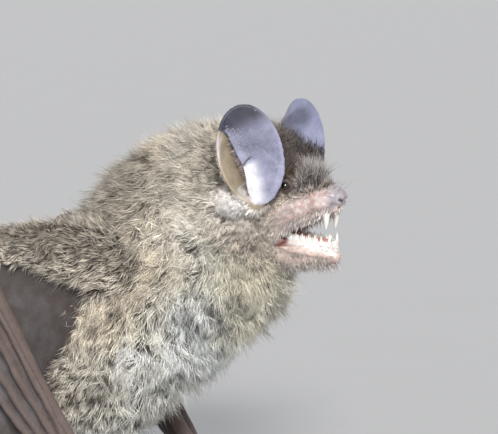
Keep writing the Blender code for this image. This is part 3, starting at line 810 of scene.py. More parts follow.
# Grey mottles of the wing: partly the membrane's own tone, partly a painted sheen.
WING_GREY_AND_SHEEN = (0.105, 0.093, 0.098)
LIMB_SKIN = (0.16, 0.115, 0.10)
FOOT_SKIN = (0.20, 0.145, 0.125)


def distance_to(shapes, points, limit=3.0):
    """How far each point is from the surface of some shapes, up to a limit."""
    corners, faces = joined(shapes)
    tree = BVHTree.FromPolygons(corners.tolist(), faces)
    low, high = corners.min(0) - limit, corners.max(0) + limit
    result = np.full(len(points), limit)
    for i in np.nonzero(((points > low) & (points < high)).all(axis=1))[0]:
        found = tree.find_nearest(points[i], limit)[3]
        if found is not None:
            result[i] = found
    return result


def near_lines(points, line):
    """Distance from each point to the nearest of a line's points."""
    return np.sqrt(((points[:, None] - line[None]) ** 2).sum(axis=2)).min(axis=1)


def folded_left(points):
    """The points with those of the right side moved over to the left."""
    return np.column_stack((points[:, 0], np.abs(points[:, 1]), points[:, 2]))


def sided(vectors, points):
    """Vectors as on the left side, mirrored where their points are on the right side."""
    return np.where(points[:, 1:2] < 0, vectors * (1, -1, 1), vectors)


def muzzle_fur_edge(x):
    """The height on the side of the muzzle down to which its fur comes."""
    return 35.1 + 0.38 * (x - 18.8)


def bare_strip(x, z, width):
    """How far each place is on the pale bare strip along the side of the muzzle."""
    return lump(z, 33.9 + 0.17 * (x - 15.5), width)


def ear_back_fur_and_shadow(a, b):
    """How far down its back each place of an ear lies in the dark fur that climbs up from the forehead, which
    is painted partly as shadow of the other ear.
    """
    return smooth_step(1.9, 0.9, b + 0.42 * (a + 0.4) - 0.9 * smooth_step(-2.2, -3.2, a))


def paint_ears(points, left, normals, leaf_gap):
    """The colour that each point has as a part of an ear."""
    a, b, out = in_ear_plane(left)
    reach = np.hypot(a / EAR_HALF_WIDTH, b / EAR_HALF_HEIGHT)
    free_edge = np.interp(b, [p[1] for p in LEAF_EDGE], [p[0] for p in LEAF_EDGE])
    lobe = smooth_step(-1.2, -2.0, b - 0.5 * (a + 0.8)) * smooth_step(2.2, 0.3, a + 0.25 * (b + 4))
    # The leaf is lilac, with painted shade over its top and painted highlights along its edges and over its
    # lobe.
    leaf_colour = layered(
        LILAC,
        (LEAF_TOP_SHADE, smooth_step(1.9, 4.3, 0.9 * b - 0.5 * a)),
        (LEAF_REAR_HIGHLIGHT, 0.6 * lump(a - free_edge, 0.3, 0.9) * smooth_step(3.0, 1.5, b)),
        (LEAF_FRONT_HIGHLIGHT, 0.6 * smooth_step(0.88, 0.97, reach) * smooth_step(0.0, 1.5, a)),
        (EAR_LOBE_PALE_AND_LIT, lobe),
    )
    back_colour = layered(
        EAR_BACK_DARK,
        (EAR_BACK, smooth_step(-0.7, 0.9, noise(points, 1.6, 7))),
        # Dark fur and painted shadow of the other ear.
        (EAR_BACK_FUR_AND_SHADOW, ear_back_fur_and_shadow(a, b)),
        # Pale rear rim, partly a painted highlight.
        (EAR_RIM_PALE_AND_LIT, 0.7 * smooth_step(-2.2, -3.6, a) * smooth_step(2.6, 1.6, b)),
    )
    leaf = smooth_step(0.3, 0.12, leaf_gap)
    rim = smooth_step(0.95, 1.0, reach) * smooth_step(-1.0, -2.5, a) * smooth_step(2.8, 1.6, b)
    opening = sided(normals, points) @ EAR_OUT
    back = np.maximum(smooth_step(0.35, 0.0, opening) * (1 - leaf), smooth_step(0.0, -0.35, opening))
    slit = np.linspace(*EAR_SLIT, 12)
    slit_gap = near_lines(np.column_stack((a, b)), slit)
    colour = layered(
        # Partly tan skin, partly painted shade inside the cup.
        EAR_TAN_AND_SHADE,
        # Painted shade deeper in the cup.
        (EAR_DEEP_SHADE, smooth_step(-1.5, -3.0, out)),
        (leaf_colour, leaf),
        # Pale rear rim, partly a painted highlight.
        (EAR_RIM_PALE_AND_LIT, 0.8 * rim),
        (back_colour, back),
        # Painted shadow in the slit.
        (EAR_SLIT_SHADOW, 0.85 * smooth_step(0.2, 0.04, slit_gap) * leaf),
    )
    return colour * (1 + 0.05 * noise(points, 1.2, 5) + 0.05 * noise(points, 0.3, 6))[:, None]


def mouth_parts(left, normals, leaf_gap):
    """How far each point belongs to the mouth's lining, to the gums and to the lower jaw's ridge, painted
    pale partly as a highlight.
    """
    x, y, z = left.T
    share = (x - MOUTH_CORNER[0]) / (MOUTH_FRONT_ABOVE[0] - MOUTH_CORNER[0])
    inside = (x > 15.8) & (x < 23) & (z > 29.6) & (z < MOUTH_CORNER[1] + 0.7 + 3.0 * share) & (leaf_gap > 0.5)
    half_width = 3.25 * np.clip(1 - share, 0, 1) ** 0.75 + 0.75 * np.clip(share, 0, 1) ** 0.5
    lining = inside * smooth_step(0.25, 0.7, half_width + 0.45 - y)
    facing_mouth = np.clip(np.abs(normals[:, 2]) * 1.6 - 0.1, 0, 1)
    lining = lining * np.maximum(facing_mouth, smooth_step(18.2, 17.0, x))
    shares = np.linspace(0, 1, 40)
    upper_gap = near_lines(left, lip_line(shares) * (1, 0.62, 1))
    lower_gap = near_lines(left, lip_line(shares, lower=True) * (1, 0.62, 1) + (0, 0, 0.15))
    gums = inside * np.maximum(smooth_step(0.8, 0.35, upper_gap), smooth_step(0.9, 0.4, lower_gap))
    ridge = smooth_step(1.3, 0.8, lower_gap) * (z < 30.6) * smooth_step(17.0, 18.2, x)
    return lining, gums, ridge


def paint_head(points, normals):
    """The colour and the gloss of each point of the head, and how far it is bare ear or mouth."""
    left = folded_left(points)
    x, y, z = left.T
    a, b, _ = in_ear_plane(left)
    ear_gap = distance_to([ear_shell()], left)
    leaf_gap = distance_to([ear_leaf()], left)
    eye_gap = np.linalg.norm(left - EYE_CENTRE, axis=1)
    nostril_gap = near_lines(left, np.linspace(NOSTRIL[0], NOSTRIL[2], 6) - (0.2, 0.1, 0))
    speckle = noise(points, 0.5, 3)
    muzzle = smooth_step(16.2, 18.0, x) * (1 - smooth_step(0.3, 1.1, ear_gap) * smooth_step(37.5, 39.0, z))
    strip = bare_strip(x, z, 1.15) * smooth_step(14.6, 15.8, x) * smooth_step(0.5, 2.0, y + (x - 15))
    crown = smooth_step(-0.2, 0.5, z - muzzle_fur_edge(x)) * smooth_step(22.2, 21.2, x)
    nose = smooth_step(21.3, 22.3, x) * smooth_step(33.4, 34.2, z)
    jaw = smooth_step(30.6, 30.0, z + 0.15 * (x - 18)) * smooth_step(15.4, 17.2, x)
    lining, gums, ridge = mouth_parts(left, normals, leaf_gap)
    ear = smooth_step(0.9, 0.1, np.minimum(ear_gap, leaf_gap))
    knob = smooth_step(2.4, 1.6, np.linalg.norm(left - KNOB, axis=1)) * (b < -4.4 + 0.4 * (a + 2.5))
    colour = layered(
        FUR_ROOT_SKIN,
        (PINK, muzzle),
        (PALE_PINK, 0.75 * strip * (0.7 + 0.3 * speckle)),
        (CROWN_SKIN, 0.9 * crown),
        (NOSE_GREY, 0.85 * nose),
        # Painted shade inside the nostrils.
        (NOSTRIL_SHADE, 0.9 * smooth_step(0.32, 0.14, nostril_gap)),
        (CHEEK_SKIN, head_regions(points)[2] * (1 - muzzle)),
        (JAW_SKIN, jaw),
        (CHIN_PINK, 0.6 * jaw * smooth_step(20.6, 22.2, x)),
        # Mouth lining with painted shade.
        (MOUTH_LINING_SHADED, lining),
        (GUM, 0.9 * gums * smooth_step(16.9, 17.9, x)),
        # Pale ridge, partly a painted highlight.
        (JAW_RIDGE_PALE_AND_LIT, 0.95 * ridge),
        (LIP_SPOT, 0.4 * smooth_step(0.5, 0.85, noise(points, 0.35, 11)) * strip),
        (paint_ears(points, left, normals, leaf_gap), ear),
        (KNOB_SKIN, knob),
        (EYELID, smooth_step(1.1, 0.62, eye_gap)),
    )
    colour *= (1 + 0.08 * noise(points, 0.8, 1) + 0.06 * speckle)[:, None]
    bare_ear = ear * (1 - knob)
    dry = 0.15 + 0.75 * strip + 0.8 * nose + 0.5 * jaw + 0.25 * bare_ear
    gloss = np.max((dry, 0.95 * gums, 0.8 * lining, 0.7 * smooth_step(0.85, 0.62, eye_gap)), axis=0)
    return colour.clip(0.004, 1), gloss.clip(0, 1), bare_ear, np.maximum(lining, gums)


def smoothed_skin(shapes, voxel, times):
    """One smoothed surface grown from closed shapes, as points, faces and normals."""
    points, faces = merged(shapes, voxel)
    faces = np.asarray(faces)
    points = relaxed(points, edges_of(faces), times)
    return points, faces, point_normals(points, faces)


def head_skin():
    """The skin of the head with its nostrils, eyelids and fine creases."""
    points, faces, normals = smoothed_skin(head_shapes(), HEAD_VOXEL, 7)
    for centre, radius, amount, ring in NOSE_AND_EYE_DABS:
        points = dab(points, normals, centre, radius, amount, ring)
    x, _, z = points.T
    soft = smooth_step(15.5, 18.0, x) * smooth_step(22.8, 21.8, x) * smooth_step(43, 40, z)
    crease = 0.05 * noise(points * (0.6, 1, 1), 0.55, 8) + 0.03 * noise(points, 0.25, 9)
    points = points + normals * (crease * soft)[:, None]
    return points, faces, point_normals(points, faces)


NOSTRIL = ((23.25, 0.52, 34.68), (23.15, 0.76, 34.76), (23.0, 1.0, 34.88))
NOSE_AND_EYE_DABS = (
    (NOSTRIL[0], 0.25, -0.28, 0.04),
    (NOSTRIL[1], 0.24, -0.26, 0.0),
    (NOSTRIL[2], 0.25, -0.3, 0.06),
    ((17.75, 4.4, 36.55), 0.46, -0.34, 0.13),
    ((23.4, 0.0, 34.9), 0.3, -0.18, 0.0),
    ((22.2, 0.0, 36.6), 0.5, -0.12, 0.0),
    ((21.0, 1.75, 35.2), 0.45, -0.14, 0.0),
    ((19.5, 2.4, 34.9), 0.5, -0.14, 0.0),
    ((20.4, 1.9, 34.4), 0.5, 0.12, 0.0),
    ((22.9, 0.0, 28.4), 0.4, 0.10, 0.0),
)


def limb_fur(left, arm_gap):
    """How furry the upper arm and the thigh are, thinning out towards the elbow and the knee."""
    arm_line = np.subtract(ELBOW, SHOULDER)
    share = (left - SHOULDER) @ arm_line / (arm_line @ arm_line)
    is_arm = left[:, 2] > 20
    near = smooth_step(0.45, 0.12, arm_gap)
    arm = near * is_arm * smooth_step(1.04, 0.7, share)
    thigh = near * ~is_arm * smooth_step(-21.0, -16.5, left[:, 0])
    return arm, thigh


def paint_body(points):
    """The colour and gloss of each point of the body, its gaps to trunk and furry limbs, and its leather."""
    left = folded_left(points)
    trunk_gap = distance_to([tube(SKIN_BODY, 60, 30, domes=(0.5, 1.4), span=TRUNK_SPAN)], left)
    furry_limb_gap = distance_to([tube(UPPER_ARM, 24, 14), tube(THIGH, 20, 14)], left)
    bare_limb_gap = distance_to([tube(FOREARM, 24, 12), tube(SHIN, 20, 12), tube(TAIL, 40, 10)], left)
    finger_gap = distance_to(folded_fingers()[1:], left, 1.0)
    foot_gap = distance_to([*FOOT_SHAPES, tube(THUMB, 12, 10)], left)
    vein = noise(points, 1.1, 21) + 0.6 * noise(points, 0.5, 23)
    furry = np.maximum(smooth_step(0.7, 0.15, trunk_gap), sum(limb_fur(left, furry_limb_gap)))
    colour = layered(
        WING_BROWN,
        # Grey mottles, partly a painted sheen.
        (WING_GREY_AND_SHEEN, smooth_step(-1.4, 1.6, vein)),
        (LIMB_SKIN, 0.8 * smooth_step(0.6, 0.1, bare_limb_gap)),
        (LIMB_SKIN, 0.6 * smooth_step(0.35, 0.05, finger_gap)),
        (FOOT_SKIN, smooth_step(0.6, 0.1, foot_gap)),
        (LIMB_SKIN, smooth_step(0.6, 0.1, furry_limb_gap)),
        (FUR_ROOT_SKIN, furry),
    )
    colour *= (1 + 0.06 * noise(points, 0.9, 22))[:, None]
    return colour.clip(0.004, 1), 0.3 - 0.2 * furry, trunk_gap, furry_limb_gap, 1 - furry


def body_skin():
    """The skin of the rest of the body, slightly creased and flat where it meets the floor."""
    points, faces, normals = smoothed_skin(body_shapes(), BODY_VOXEL, 5)
    folds = 0.05 * noise(points * (1, 1, 0.5), 1.5, 81) + 0.04 * noise(points * (1, 1, 0.7), 0.8, 82)
    points = points + normals * (folds * smooth_step(0.3, 1.0, points[:, 2]))[:, None]
    points[:, 2] = np.maximum(points[:, 2], 0.0)
    return points, faces, point_normals(points, faces)


# --- Materials -------------------------------------------------------------------------------------------


class Nodes:
    """Builds a Principled material from short calls."""

    def __init__(self, name):
        """A new material, whose patterns lie in the object's own place."""
        self.material = bpy.data.materials.new(name)
        self.material.use_nodes = True
        self.tree = self.material.node_tree
        self.shader = self.tree.nodes["Principled BSDF"]
        self.place = self.tree.nodes.new("ShaderNodeTexCoord").outputs["Object"]

    def link(self, value, socket):
        """Feeds a socket from another socket, or sets it to a constant."""
        if isinstance(value, bpy.types.NodeSocket):
            self.tree.links.new(value, socket)
        else:
            socket.default_value = value

    def feed(self, node, inputs):
        """Feeds a node's inputs, named with underscores for spaces."""
        for name, value in inputs.items():
            self.link(value, node.inputs[name.replace("_", " ")])
        return node

    def add(self, kind, settings=(), **inputs):
        """A new node with its settings and inputs."""
        node = self.tree.nodes.new(kind)
        for name, value in dict(settings).items():
            setattr(node, name, value)
        return self.feed(node, inputs)

    def attribute(self, name, output="Fac"):
        """What the object stores for each point under a name."""
        return self.add("ShaderNodeAttribute", {"attribute_name": name}).outputs[output]

    def noise(self, size, detail=3.0, roughness=0.6):
        """Noise with lumps of a size in millimetres."""
        made = self.add("ShaderNodeTexNoise", Vector=self.place, Scale=1 / (size * MM))
        return self.feed(made, {"Detail": detail, "Roughness": roughness}).outputs["Fac"]

    def cells(self, size, feature="F1"):
        """A pattern of cells of a size in millimetres."""
        scale = 1 / (size * MM)
        made = self.add("ShaderNodeTexVoronoi", {"feature": feature}, Vector=self.place, Scale=scale)
        return made.outputs["Distance"]

    def maths(self, operation, first, second):
        """A sum on two values."""
        node = self.add("ShaderNodeMath", {"operation": operation})
        self.link(first, node.inputs[0])
        self.link(second, node.inputs[1])
        return node.outputs["Value"]

    def scaled(self, value, low, high):
        """A value from 0 to 1 stretched to run from low to high."""
        return self.add("ShaderNodeMapRange", Value=value, To_Min=low, To_Max=high).outputs["Result"]

    def blend(self, kind, share, first, second):
        """Two colours blended."""
        node = self.add("ShaderNodeMix", {"data_type": "RGBA", "blend_type": kind})
        self.link(share, node.inputs["Factor"])
        self.link(first, node.inputs[6])
        self.link(second, node.inputs[7])
        return node.outputs[2]

    def grey(self, value):
        """A colour with one value for its three parts."""
        return self.add("ShaderNodeCombineColor", Red=value, Green=value, Blue=value).outputs[0]

    def bump(self, height, distance, strength):
        """A surface that a height in shares of a distance in millimetres makes uneven."""
        made = self.add("ShaderNodeBump", Height=height, Strength=strength, Distance=distance * MM)
        return made.outputs["Normal"]

    def finish(self, **inputs):
        """The finished material."""
        self.feed(self.shader, inputs)
        return self.material


def mottled(name, size, tones, rough_size, rough, bump=None, **inputs):
    """A material mottled between two tones in lumps of a size, with a roughness between two values."""
    m = Nodes(name)
    first, second = ((*tone, 1) for tone in tones)
    if bump:
        inputs["Normal"] = bump(m)
    return m.finish(
        Base_Color=m.blend("MIX", m.noise(size), first, second),
        Roughness=m.scaled(m.noise(rough_size), *rough),
        **inputs,
    )


def skin_material():
    """Skin with pores and wrinkles, and seams and veins where it is leather."""
    m = Nodes("skin")
    tint = m.attribute("tint", "Color")
    gloss = m.attribute("gloss")
    shade = m.blend("MULTIPLY", 1.0, tint, m.grey(m.scaled(m.noise(0.35, 4.0), 0.84, 1.16)))
    pores = m.cells(0.16)
    wrinkles = m.noise(0.28, 5.0, 0.65)
    leather = m.attribute("leather")
    seams = m.maths("MINIMUM", m.maths("MULTIPLY", m.cells(0.42, "DISTANCE_TO_EDGE"), 3.0), 1.0)
    veins = m.scaled(m.noise(1.4, 5.0, 0.7), -1.0, 1.0)
    grain = m.maths("MULTIPLY", m.maths("ADD", m.maths("MULTIPLY", seams, 0.3), veins), leather)
    # Painted shade: the leather's seams, which are grooves in the bump, darkened towards near black.
    seam_shade = m.maths("MULTIPLY", m.maths("SUBTRACT", 1.0, seams), m.maths("MULTIPLY", leather, 0.16))
    shade = m.blend("MIX", seam_shade, shade, (0.03, 0.022, 0.02, 1))
    height = m.maths("ADD", m.maths("MULTIPLY", pores, 0.35), m.maths("ADD", wrinkles, grain))
    rough = m.maths("SUBTRACT", m.scaled(m.noise(0.5), 0.58, 0.78), m.maths("MULTIPLY", gloss, 0.42))
    rough = m.maths("ADD", rough, m.maths("MULTIPLY", leather, 0.2))
    m.shader.inputs["Subsurface Radius"].default_value = (1.0, 0.45, 0.3)
    return m.finish(
        Base_Color=shade,
        Roughness=rough,
        Normal=m.bump(height, 0.05, 0.7),
        Subsurface_Weight=0.12,
        Subsurface_Scale=0.0005,
        Specular_IOR_Level=0.42,
    )


def add_eyes():
    """Both eyes, dark and wet."""
    tones = ((0.006, 0.004, 0.003), (0.02, 0.012, 0.008))
    material = mottled("eye", 0.3, tones, 0.4, (0.05, 0.1), Coat_Weight=0.6)
    obj = add_mesh("eyes", *joined(both(ball(EYE_CENTRE, (EYE_RADIUS,) * 3, sides=40))), material)
    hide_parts("eye_left", "eye_right")


# --- Floor, light and camera -----------------------------------------------------------------------------


CAMERA_AZIMUTH, CAMERA_ELEVATION = math.radians(20), math.radians(4)
CAMERA_DISTANCE, SENSOR = 400.0, 36.0
VIEW_WIDTH = 55.8
VIEW_ACROSS, VIEW_UP, VIEW_DEPTH = 11.09, 32.26, 12.0
FLOOR_REACH = 30000.0
STUDIO_COLOUR, STUDIO_STRENGTH = (0.80, 0.82, 0.86, 1), 0.62
# The lamps: name, the direction each one is in, width in degrees, strength and colour.
LAMPS = (
    ("key", (140, -320, 150), 14, 3.3, (1.0, 0.985, 0.95)),
    ("fill", (330, 120, 60), 40, 0.5, (0.92, 0.95, 1.0)),
    ("back", (-160, 240, 300), 30, 1.1, (1.0, 0.99, 0.97)),
)
CAMERA_BACK = np.array(
    (
        math.sin(CAMERA_AZIMUTH) * math.cos(CAMERA_ELEVATION),
        -math.cos(CAMERA_AZIMUTH) * math.cos(CAMERA_ELEVATION),
        math.sin(CAMERA_ELEVATION),
    )
)
CAMERA_RIGHT = np.array((math.cos(CAMERA_AZIMUTH), math.sin(CAMERA_AZIMUTH), 0.0))
CAMERA_UP = np.cross(CAMERA_BACK, CAMERA_RIGHT)


def row_place(point):
    """A place of the animal in the row's frame."""
    return Vector((np.asarray(point, float) + SHIFT) * MM)


def aim(obj, place, target):
    """Moves an object to a place and turns it towards a target."""
    obj.location = row_place(place)
    obj.rotation_euler = (row_place(target) - obj.location).to_track_quat("-Z", "Y").to_euler()


def add_camera():
    """The camera with the photo's framing, from the photo's angle."""
    camera = bpy.data.cameras.new("camera")
    camera.sensor_width = SENSOR
    camera.lens = SENSOR * CAMERA_DISTANCE / VIEW_WIDTH
    camera.clip_start, camera.clip_end = 0.01, 50.0
    obj = placed("camera", camera)
    target = CAMERA_RIGHT * VIEW_ACROSS + CAMERA_UP * VIEW_UP + CAMERA_BACK * VIEW_DEPTH
    aim(obj, target + CAMERA_BACK * CAMERA_DISTANCE, target)
    bpy.context.scene.camera = obj


def add_light(name, source, spread, strength, colour):
    """A broad distant light from the direction of its source. Its spread is its width in degrees."""
    light = bpy.data.lights.new(name, "SUN")
    light.angle = math.radians(spread)
    light.energy = strength
    light.color = colour
    aim(placed(name, light), source, (0, 0, 0))


def add_stage():
    """The plain floor, the studio's light all round, and its lamps."""
    m = Nodes("floor")
    grain = m.scaled(m.noise(30.0, 4.0), 0.44, 0.46)
    tone = m.add("ShaderNodeCombineColor", Red=grain, Green=grain, Blue=m.maths("MULTIPLY", grain, 1.01))
    material = m.finish(Base_Color=tone.outputs[0], Roughness=0.9, Specular_IOR_Level=0.1)
    reach = FLOOR_REACH * MM
    corners = [(-reach, -reach, 0), (reach, -reach, 0), (reach, reach, 0), (-reach, reach, 0)]
    mesh = bpy.data.meshes.new("floor")
    mesh.from_pydata(corners, [], [(0, 1, 2, 3)])
    mesh.materials.append(material)
    placed("floor", mesh)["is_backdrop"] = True
    world = bpy.data.worlds.new("studio")
    world.use_nodes = True
    background = world.node_tree.nodes["Background"]
    background.inputs["Color"].default_value = STUDIO_COLOUR
    background.inputs["Strength"].default_value = STUDIO_STRENGTH
    bpy.context.scene.world = world
    for lamp in LAMPS:
        add_light(*lamp)
    bpy.context.scene.view_settings.view_transform = "Standard"


# --- The coat --------------------------------------------------------------------------------------------


PATCH = 0.003
# The rings of a strand: where each is from root to tip, and its share of the strand's width.
FRINGE_RINGS = ((0.0, 1.0), (0.36, 0.95), (0.72, 0.62))
SHORT_RINGS = ((0.0, 1.0), (0.5, 0.75))
ROOT_DEPTH = 0.12
LONG_WIDTH, HEAD_WIDTH, FACE_WIDTH = 0.038, 0.03, 0.024
HEAD_STRANDS, ARM_STRANDS, THIGH_STRANDS, FACE_STRANDS = 15500, 9000, 4000, 9000
# The lengths of the trunk's coat: a piece's name, where it starts and ends in rows of the body, how many
# strands each side has, and how many strands go to a clump.
LENGTHS_OF_COAT = (
    ("coat_neck_", HEAD_END, NECK_END, 15000, 9),
    ("coat_chest_", NECK_END, CHEST_MIDDLE, 14000, 10),
    ("coat_belly_", CHEST_MIDDLE, CHEST_END, 10500, 10),
    ("coat_rump_", CHEST_END, COAT_END, 8500, 10),
)
COUNT_SHARE = 1.0
PATH_STEPS = np.arange(0, 8.001, 0.04)
PATH = along(BODY, PATH_STEPS)


def body_place(points):
    """Where points lie along the body's rows, the body's heading there, and the angle about its axis."""
    step = np.zeros(len(points), int)
    for first in range(0, len(points), 20000):
        part = points[first : first + 20000]
        gap = ((part[:, None] - PATH[None, :, :3]) ** 2).sum(axis=2)
        step[first : first + 20000] = gap.argmin(axis=1)
    heading = unit(np.gradient(PATH[:, :3], axis=0))[step]
    off = points - PATH[step, :3]
    upward = np.cross(np.cross(heading, (0, 0, 1)), heading)
    angle = np.arctan2(np.abs(off[:, 1]), (off * unit(upward)).sum(axis=1))
    return PATH_STEPS[step], heading, angle


def scatter(points, faces, normals, weight, count, rng):
    """Random places on a surface, as many to each area as its weight says."""
    corner = points[faces]
    area = np.linalg.norm(np.cross(corner[:, 2] - corner[:, 0], corner[:, 3] - corner[:, 1]), axis=1) / 2
    share = area * weight[faces].mean(axis=1)
    chosen = rng.choice(len(faces), count, p=share / share.sum())
    f, g = rng.random((2, count, 1))
    corner = points[faces[chosen]]
    normal = normals[faces[chosen]]
    near, far = corner[:, 0] * (1 - f) + corner[:, 1] * f, corner[:, 3] * (1 - f) + corner[:, 2] * f
    return near * (1 - g) + far * g, unit(normal.mean(axis=1))


def turned(vectors, axes, angles):
    """Vectors turned about axes by angles."""
    c, s = np.cos(angles)[:, None], np.sin(angles)[:, None]
    return vectors * c + np.cross(axes, vectors) * s + axes * (axes * vectors).sum(axis=1)[:, None] * (1 - c)


def grow(roots, normals, flow, length, lift, width, rng, clump, per_clump):
    """The points of curved, pointed strands in clumps. Lift is the angle off the skin at root and tip."""
    count = len(roots)
    along_skin = unit(flow - normals * (flow * normals).sum(axis=1)[:, None])
    length = length * rng.uniform(0.72, 1.12, count)
    wisp = rng.random(count) < 0.13
    length = np.where(wisp, length * 1.22, length)
    jitter = rng.normal(0, 0.28, (count, 3))
    tilt = rng.normal(0, 0.18, count)
    shares = [share for share, _ in SHORT_RINGS] + [1.0]
    line = [roots - normals * ROOT_DEPTH]
    for k, angle in enumerate(lift):
        angle = angle + tilt
        direction = along_skin * np.cos(angle)[:, None] + normals * np.sin(angle)[:, None]
        direction = unit(direction + jitter * (0.55 + 0.9 * k))
        line.append(line[-1] + direction * (length * (shares[k + 1] - shares[k]))[:, None])
    line = np.stack(line, axis=1)
    leaders = rng.choice(count, count // per_clump, replace=False)
    tree = KDTree(len(leaders))
    for i, leader in enumerate(leaders):
        tree.insert(roots[leader], i)
    tree.balance()
    group = np.array([tree.find(root)[1] for root in roots])
    nearest = leaders[group]
    lean = (rng.normal(0, 0.2, (len(leaders), 3)) * length.mean())[group]
    pull = clump * np.where(wisp, 0.3, 1.0) * rng.uniform(0.6, 1.0, count)
    for k in range(1, len(shares)):
        line[:, k] += lean * shares[k] ** 1.4
        line[:, k] += (line[nearest, k] - line[:, k]) * (pull * shares[k] ** 0.8)[:, None]
    line[..., 2] = np.maximum(line[..., 2], 0.06)
    return strand_bodies(line, np.broadcast_to(width, count), SHORT_RINGS, rng)


def strand_bodies(line, width, rings, rng):
    """Three points round each inner point of each line, and one at its tip."""
    turn = rng.uniform(0, 2 * np.pi, len(line))
    body = []
    for k, (_, size) in enumerate(rings):
        heading = unit(line[:, k + 1] - line[:, max(k - 1, 0)])
        across = unit(np.cross(heading, (0.31, 0.52, 0.79)))
        other = np.cross(heading, across)
        for corner in range(3):
            a = turn + corner * 2 * np.pi / 3
            spoke = across * np.cos(a)[:, None] + other * np.sin(a)[:, None]
            body.append(line[:, k] + spoke * (width * size)[:, None])
    body.append(line[:, -1])
    return np.stack(body, axis=1)


def strand_faces(count, rings):
    """Three-sided faces that close each strand."""
    one = [(0, 2, 1)]
    for r in range(rings - 1):
        for k in range(3):
            a, b = 3 * r + k, 3 * r + (k + 1) % 3
            one += [(a, b, b + 3), (a, b + 3, a + 3)]
    tip = 3 * rings
    one += [(tip - 3 + k, tip - 3 + (k + 1) % 3, tip) for k in range(3)]
    one = np.array(one)
    return (one[None] + np.arange(count)[:, None, None] * (tip + 1)).reshape(-1, 3)


def add_coat(name, strands, places, colours, material, rng, first=0.0):
    """One piece of the coat. The places are where each root lies on the unwrapped skin, from 0 to 1."""
    count, size = strands.shape[:2]
    rings = (size - 1) // 3
    shares = [share for share, _ in (FRINGE_RINGS if rings == len(FRINGE_RINGS) else SHORT_RINGS)]
    faces = strand_faces(count, rings)
    obj = add_mesh(name, strands.reshape(-1, 3), faces, material)
    run = np.append(np.repeat(shares, 3), 1.0)
    side = np.append(np.tile((0.0, 0.5, 1.0), rings), 0.5)
    first = np.broadcast_to(first, count)[:, None]
    give(obj, "root_to_tip", (first + (1 - first) * run).ravel())
    give(obj, "tint", np.repeat(colours.clip(0.01, 0.95), size, axis=0), "FLOAT_COLOR")
    give(obj, "tuft", np.repeat(rng.random(count), size))
    corner = np.stack((np.tile(side, count), np.tile(run, count)), axis=1) * PATCH
    places = places.clip(0, 1) * (1 - PATCH)
    corner = corner + np.repeat(places, size, axis=0)
    unwrap = obj.data.uv_layers.new(name="OFBake")
    unwrap.uv.foreach_set("vector", corner[faces.ravel()].astype(np.float32).ravel())
    return obj


def in_front_of_ear(points, tree):
    """Which points would show inside the opening of an ear."""
    left = folded_left(points)
    a, b, out = in_ear_plane(left)
    across = (a + EAR_BACKWARD_LEAN * b) / (EAR_HALF_WIDTH + 0.25)
    near = (np.hypot(across, b / (EAR_HALF_HEIGHT + 0.1)) < 1) & (out > -4.5) & (out < 3)
    for i in np.nonzero(near)[0]:
        place = Vector(left[i])
        near[i] = tree.ray_cast(place, EAR_OUT)[0] is None or tree.ray_cast(place, -EAR_OUT)[0] is not None
    return near


def in_mouth(points):
    """Which points are in the opening of the mouth."""
    x, y, z = folded_left(points).T
    share = (x - MOUTH_CORNER[0]) / (MOUTH_FRONT_ABOVE[0] - MOUTH_CORNER[0])
    top = MOUTH_CORNER[1] - 0.1 + 3.0 * share
    bottom = MOUTH_CORNER[1] - 0.2 + (MOUTH_FRONT_BELOW - MOUTH_CORNER[1]) * share
    return (x > MOUTH_CORNER[0] + 0.3) & (z < top) & (z > bottom) & (y < 3.4)


def fur_material():
    """Strands that are dark at the root, partly as painted shade deep in the coat, and pale at the tip, each
    a little different.
    """
    m = Nodes("fur")
    run = m.attribute("root_to_tip")
    tuft = m.attribute("tuft")
    tint = m.attribute("tint", "Color")
    # The root is darker partly as the hair's own banding and partly as painted shade deep in the coat.
    root = m.blend("MULTIPLY", 1.0, tint, (0.21, 0.18, 0.17, 1))
    bright = m.blend("MULTIPLY", 1.0, tint, (2.5, 2.55, 2.6, 1))
    pale = m.blend("MIX", m.maths("POWER", tuft, 2.4), tint, bright)
    smooth = {"interpolation_type": "SMOOTHSTEP"}
    rise = m.add("ShaderNodeMapRange", smooth, Value=run, From_Min=0.16, From_Max=0.85)
    banded = m.blend("MIX", rise.outputs["Result"], root, pale)
    return m.finish(
        Base_Color=m.blend("MULTIPLY", 1.0, banded, m.grey(m.scaled(m.noise(1.1), 0.78, 1.22))),
        Roughness=m.scaled(tuft, 0.5, 0.7),
        Specular_IOR_Level=0.35,
        Sheen_Weight=0.15,
        Sheen_Roughness=0.5,
    )


BACK_FUR = (0.455, 0.405, 0.335)
FLANK_FUR = (0.78, 0.71, 0.605)
BELLY_FUR = (0.78, 0.78, 0.73)
CROWN_FUR = (0.55, 0.49, 0.41)
# Brown brow fur, darkened as painted shadow of the ear.
BROW_FUR_AND_SHADOW = (0.115, 0.074, 0.052)
# Fur at the feet of the ears: dark fur, mostly painted shadow of the other ear.
EAR_BASE_FUR_AND_SHADOW = (0.036, 0.025, 0.022)
TUFT_FUR = (0.23, 0.21, 0.205)
CHEEK_FUR = (0.58, 0.515, 0.455)
KNOB_FUR = (0.76, 0.725, 0.695)
FACE_FUR = (0.40, 0.34, 0.335)
THROAT_FUR = (0.61, 0.575, 0.475)
CHIN_FUR = (0.5, 0.47, 0.43)
# Painted shade: near-black fur in a parting of the coat on the chest.
PARTING_SHADE_FUR = (0.06, 0.06, 0.064)
FRINGE_FUR = (0.45, 0.40, 0.38)


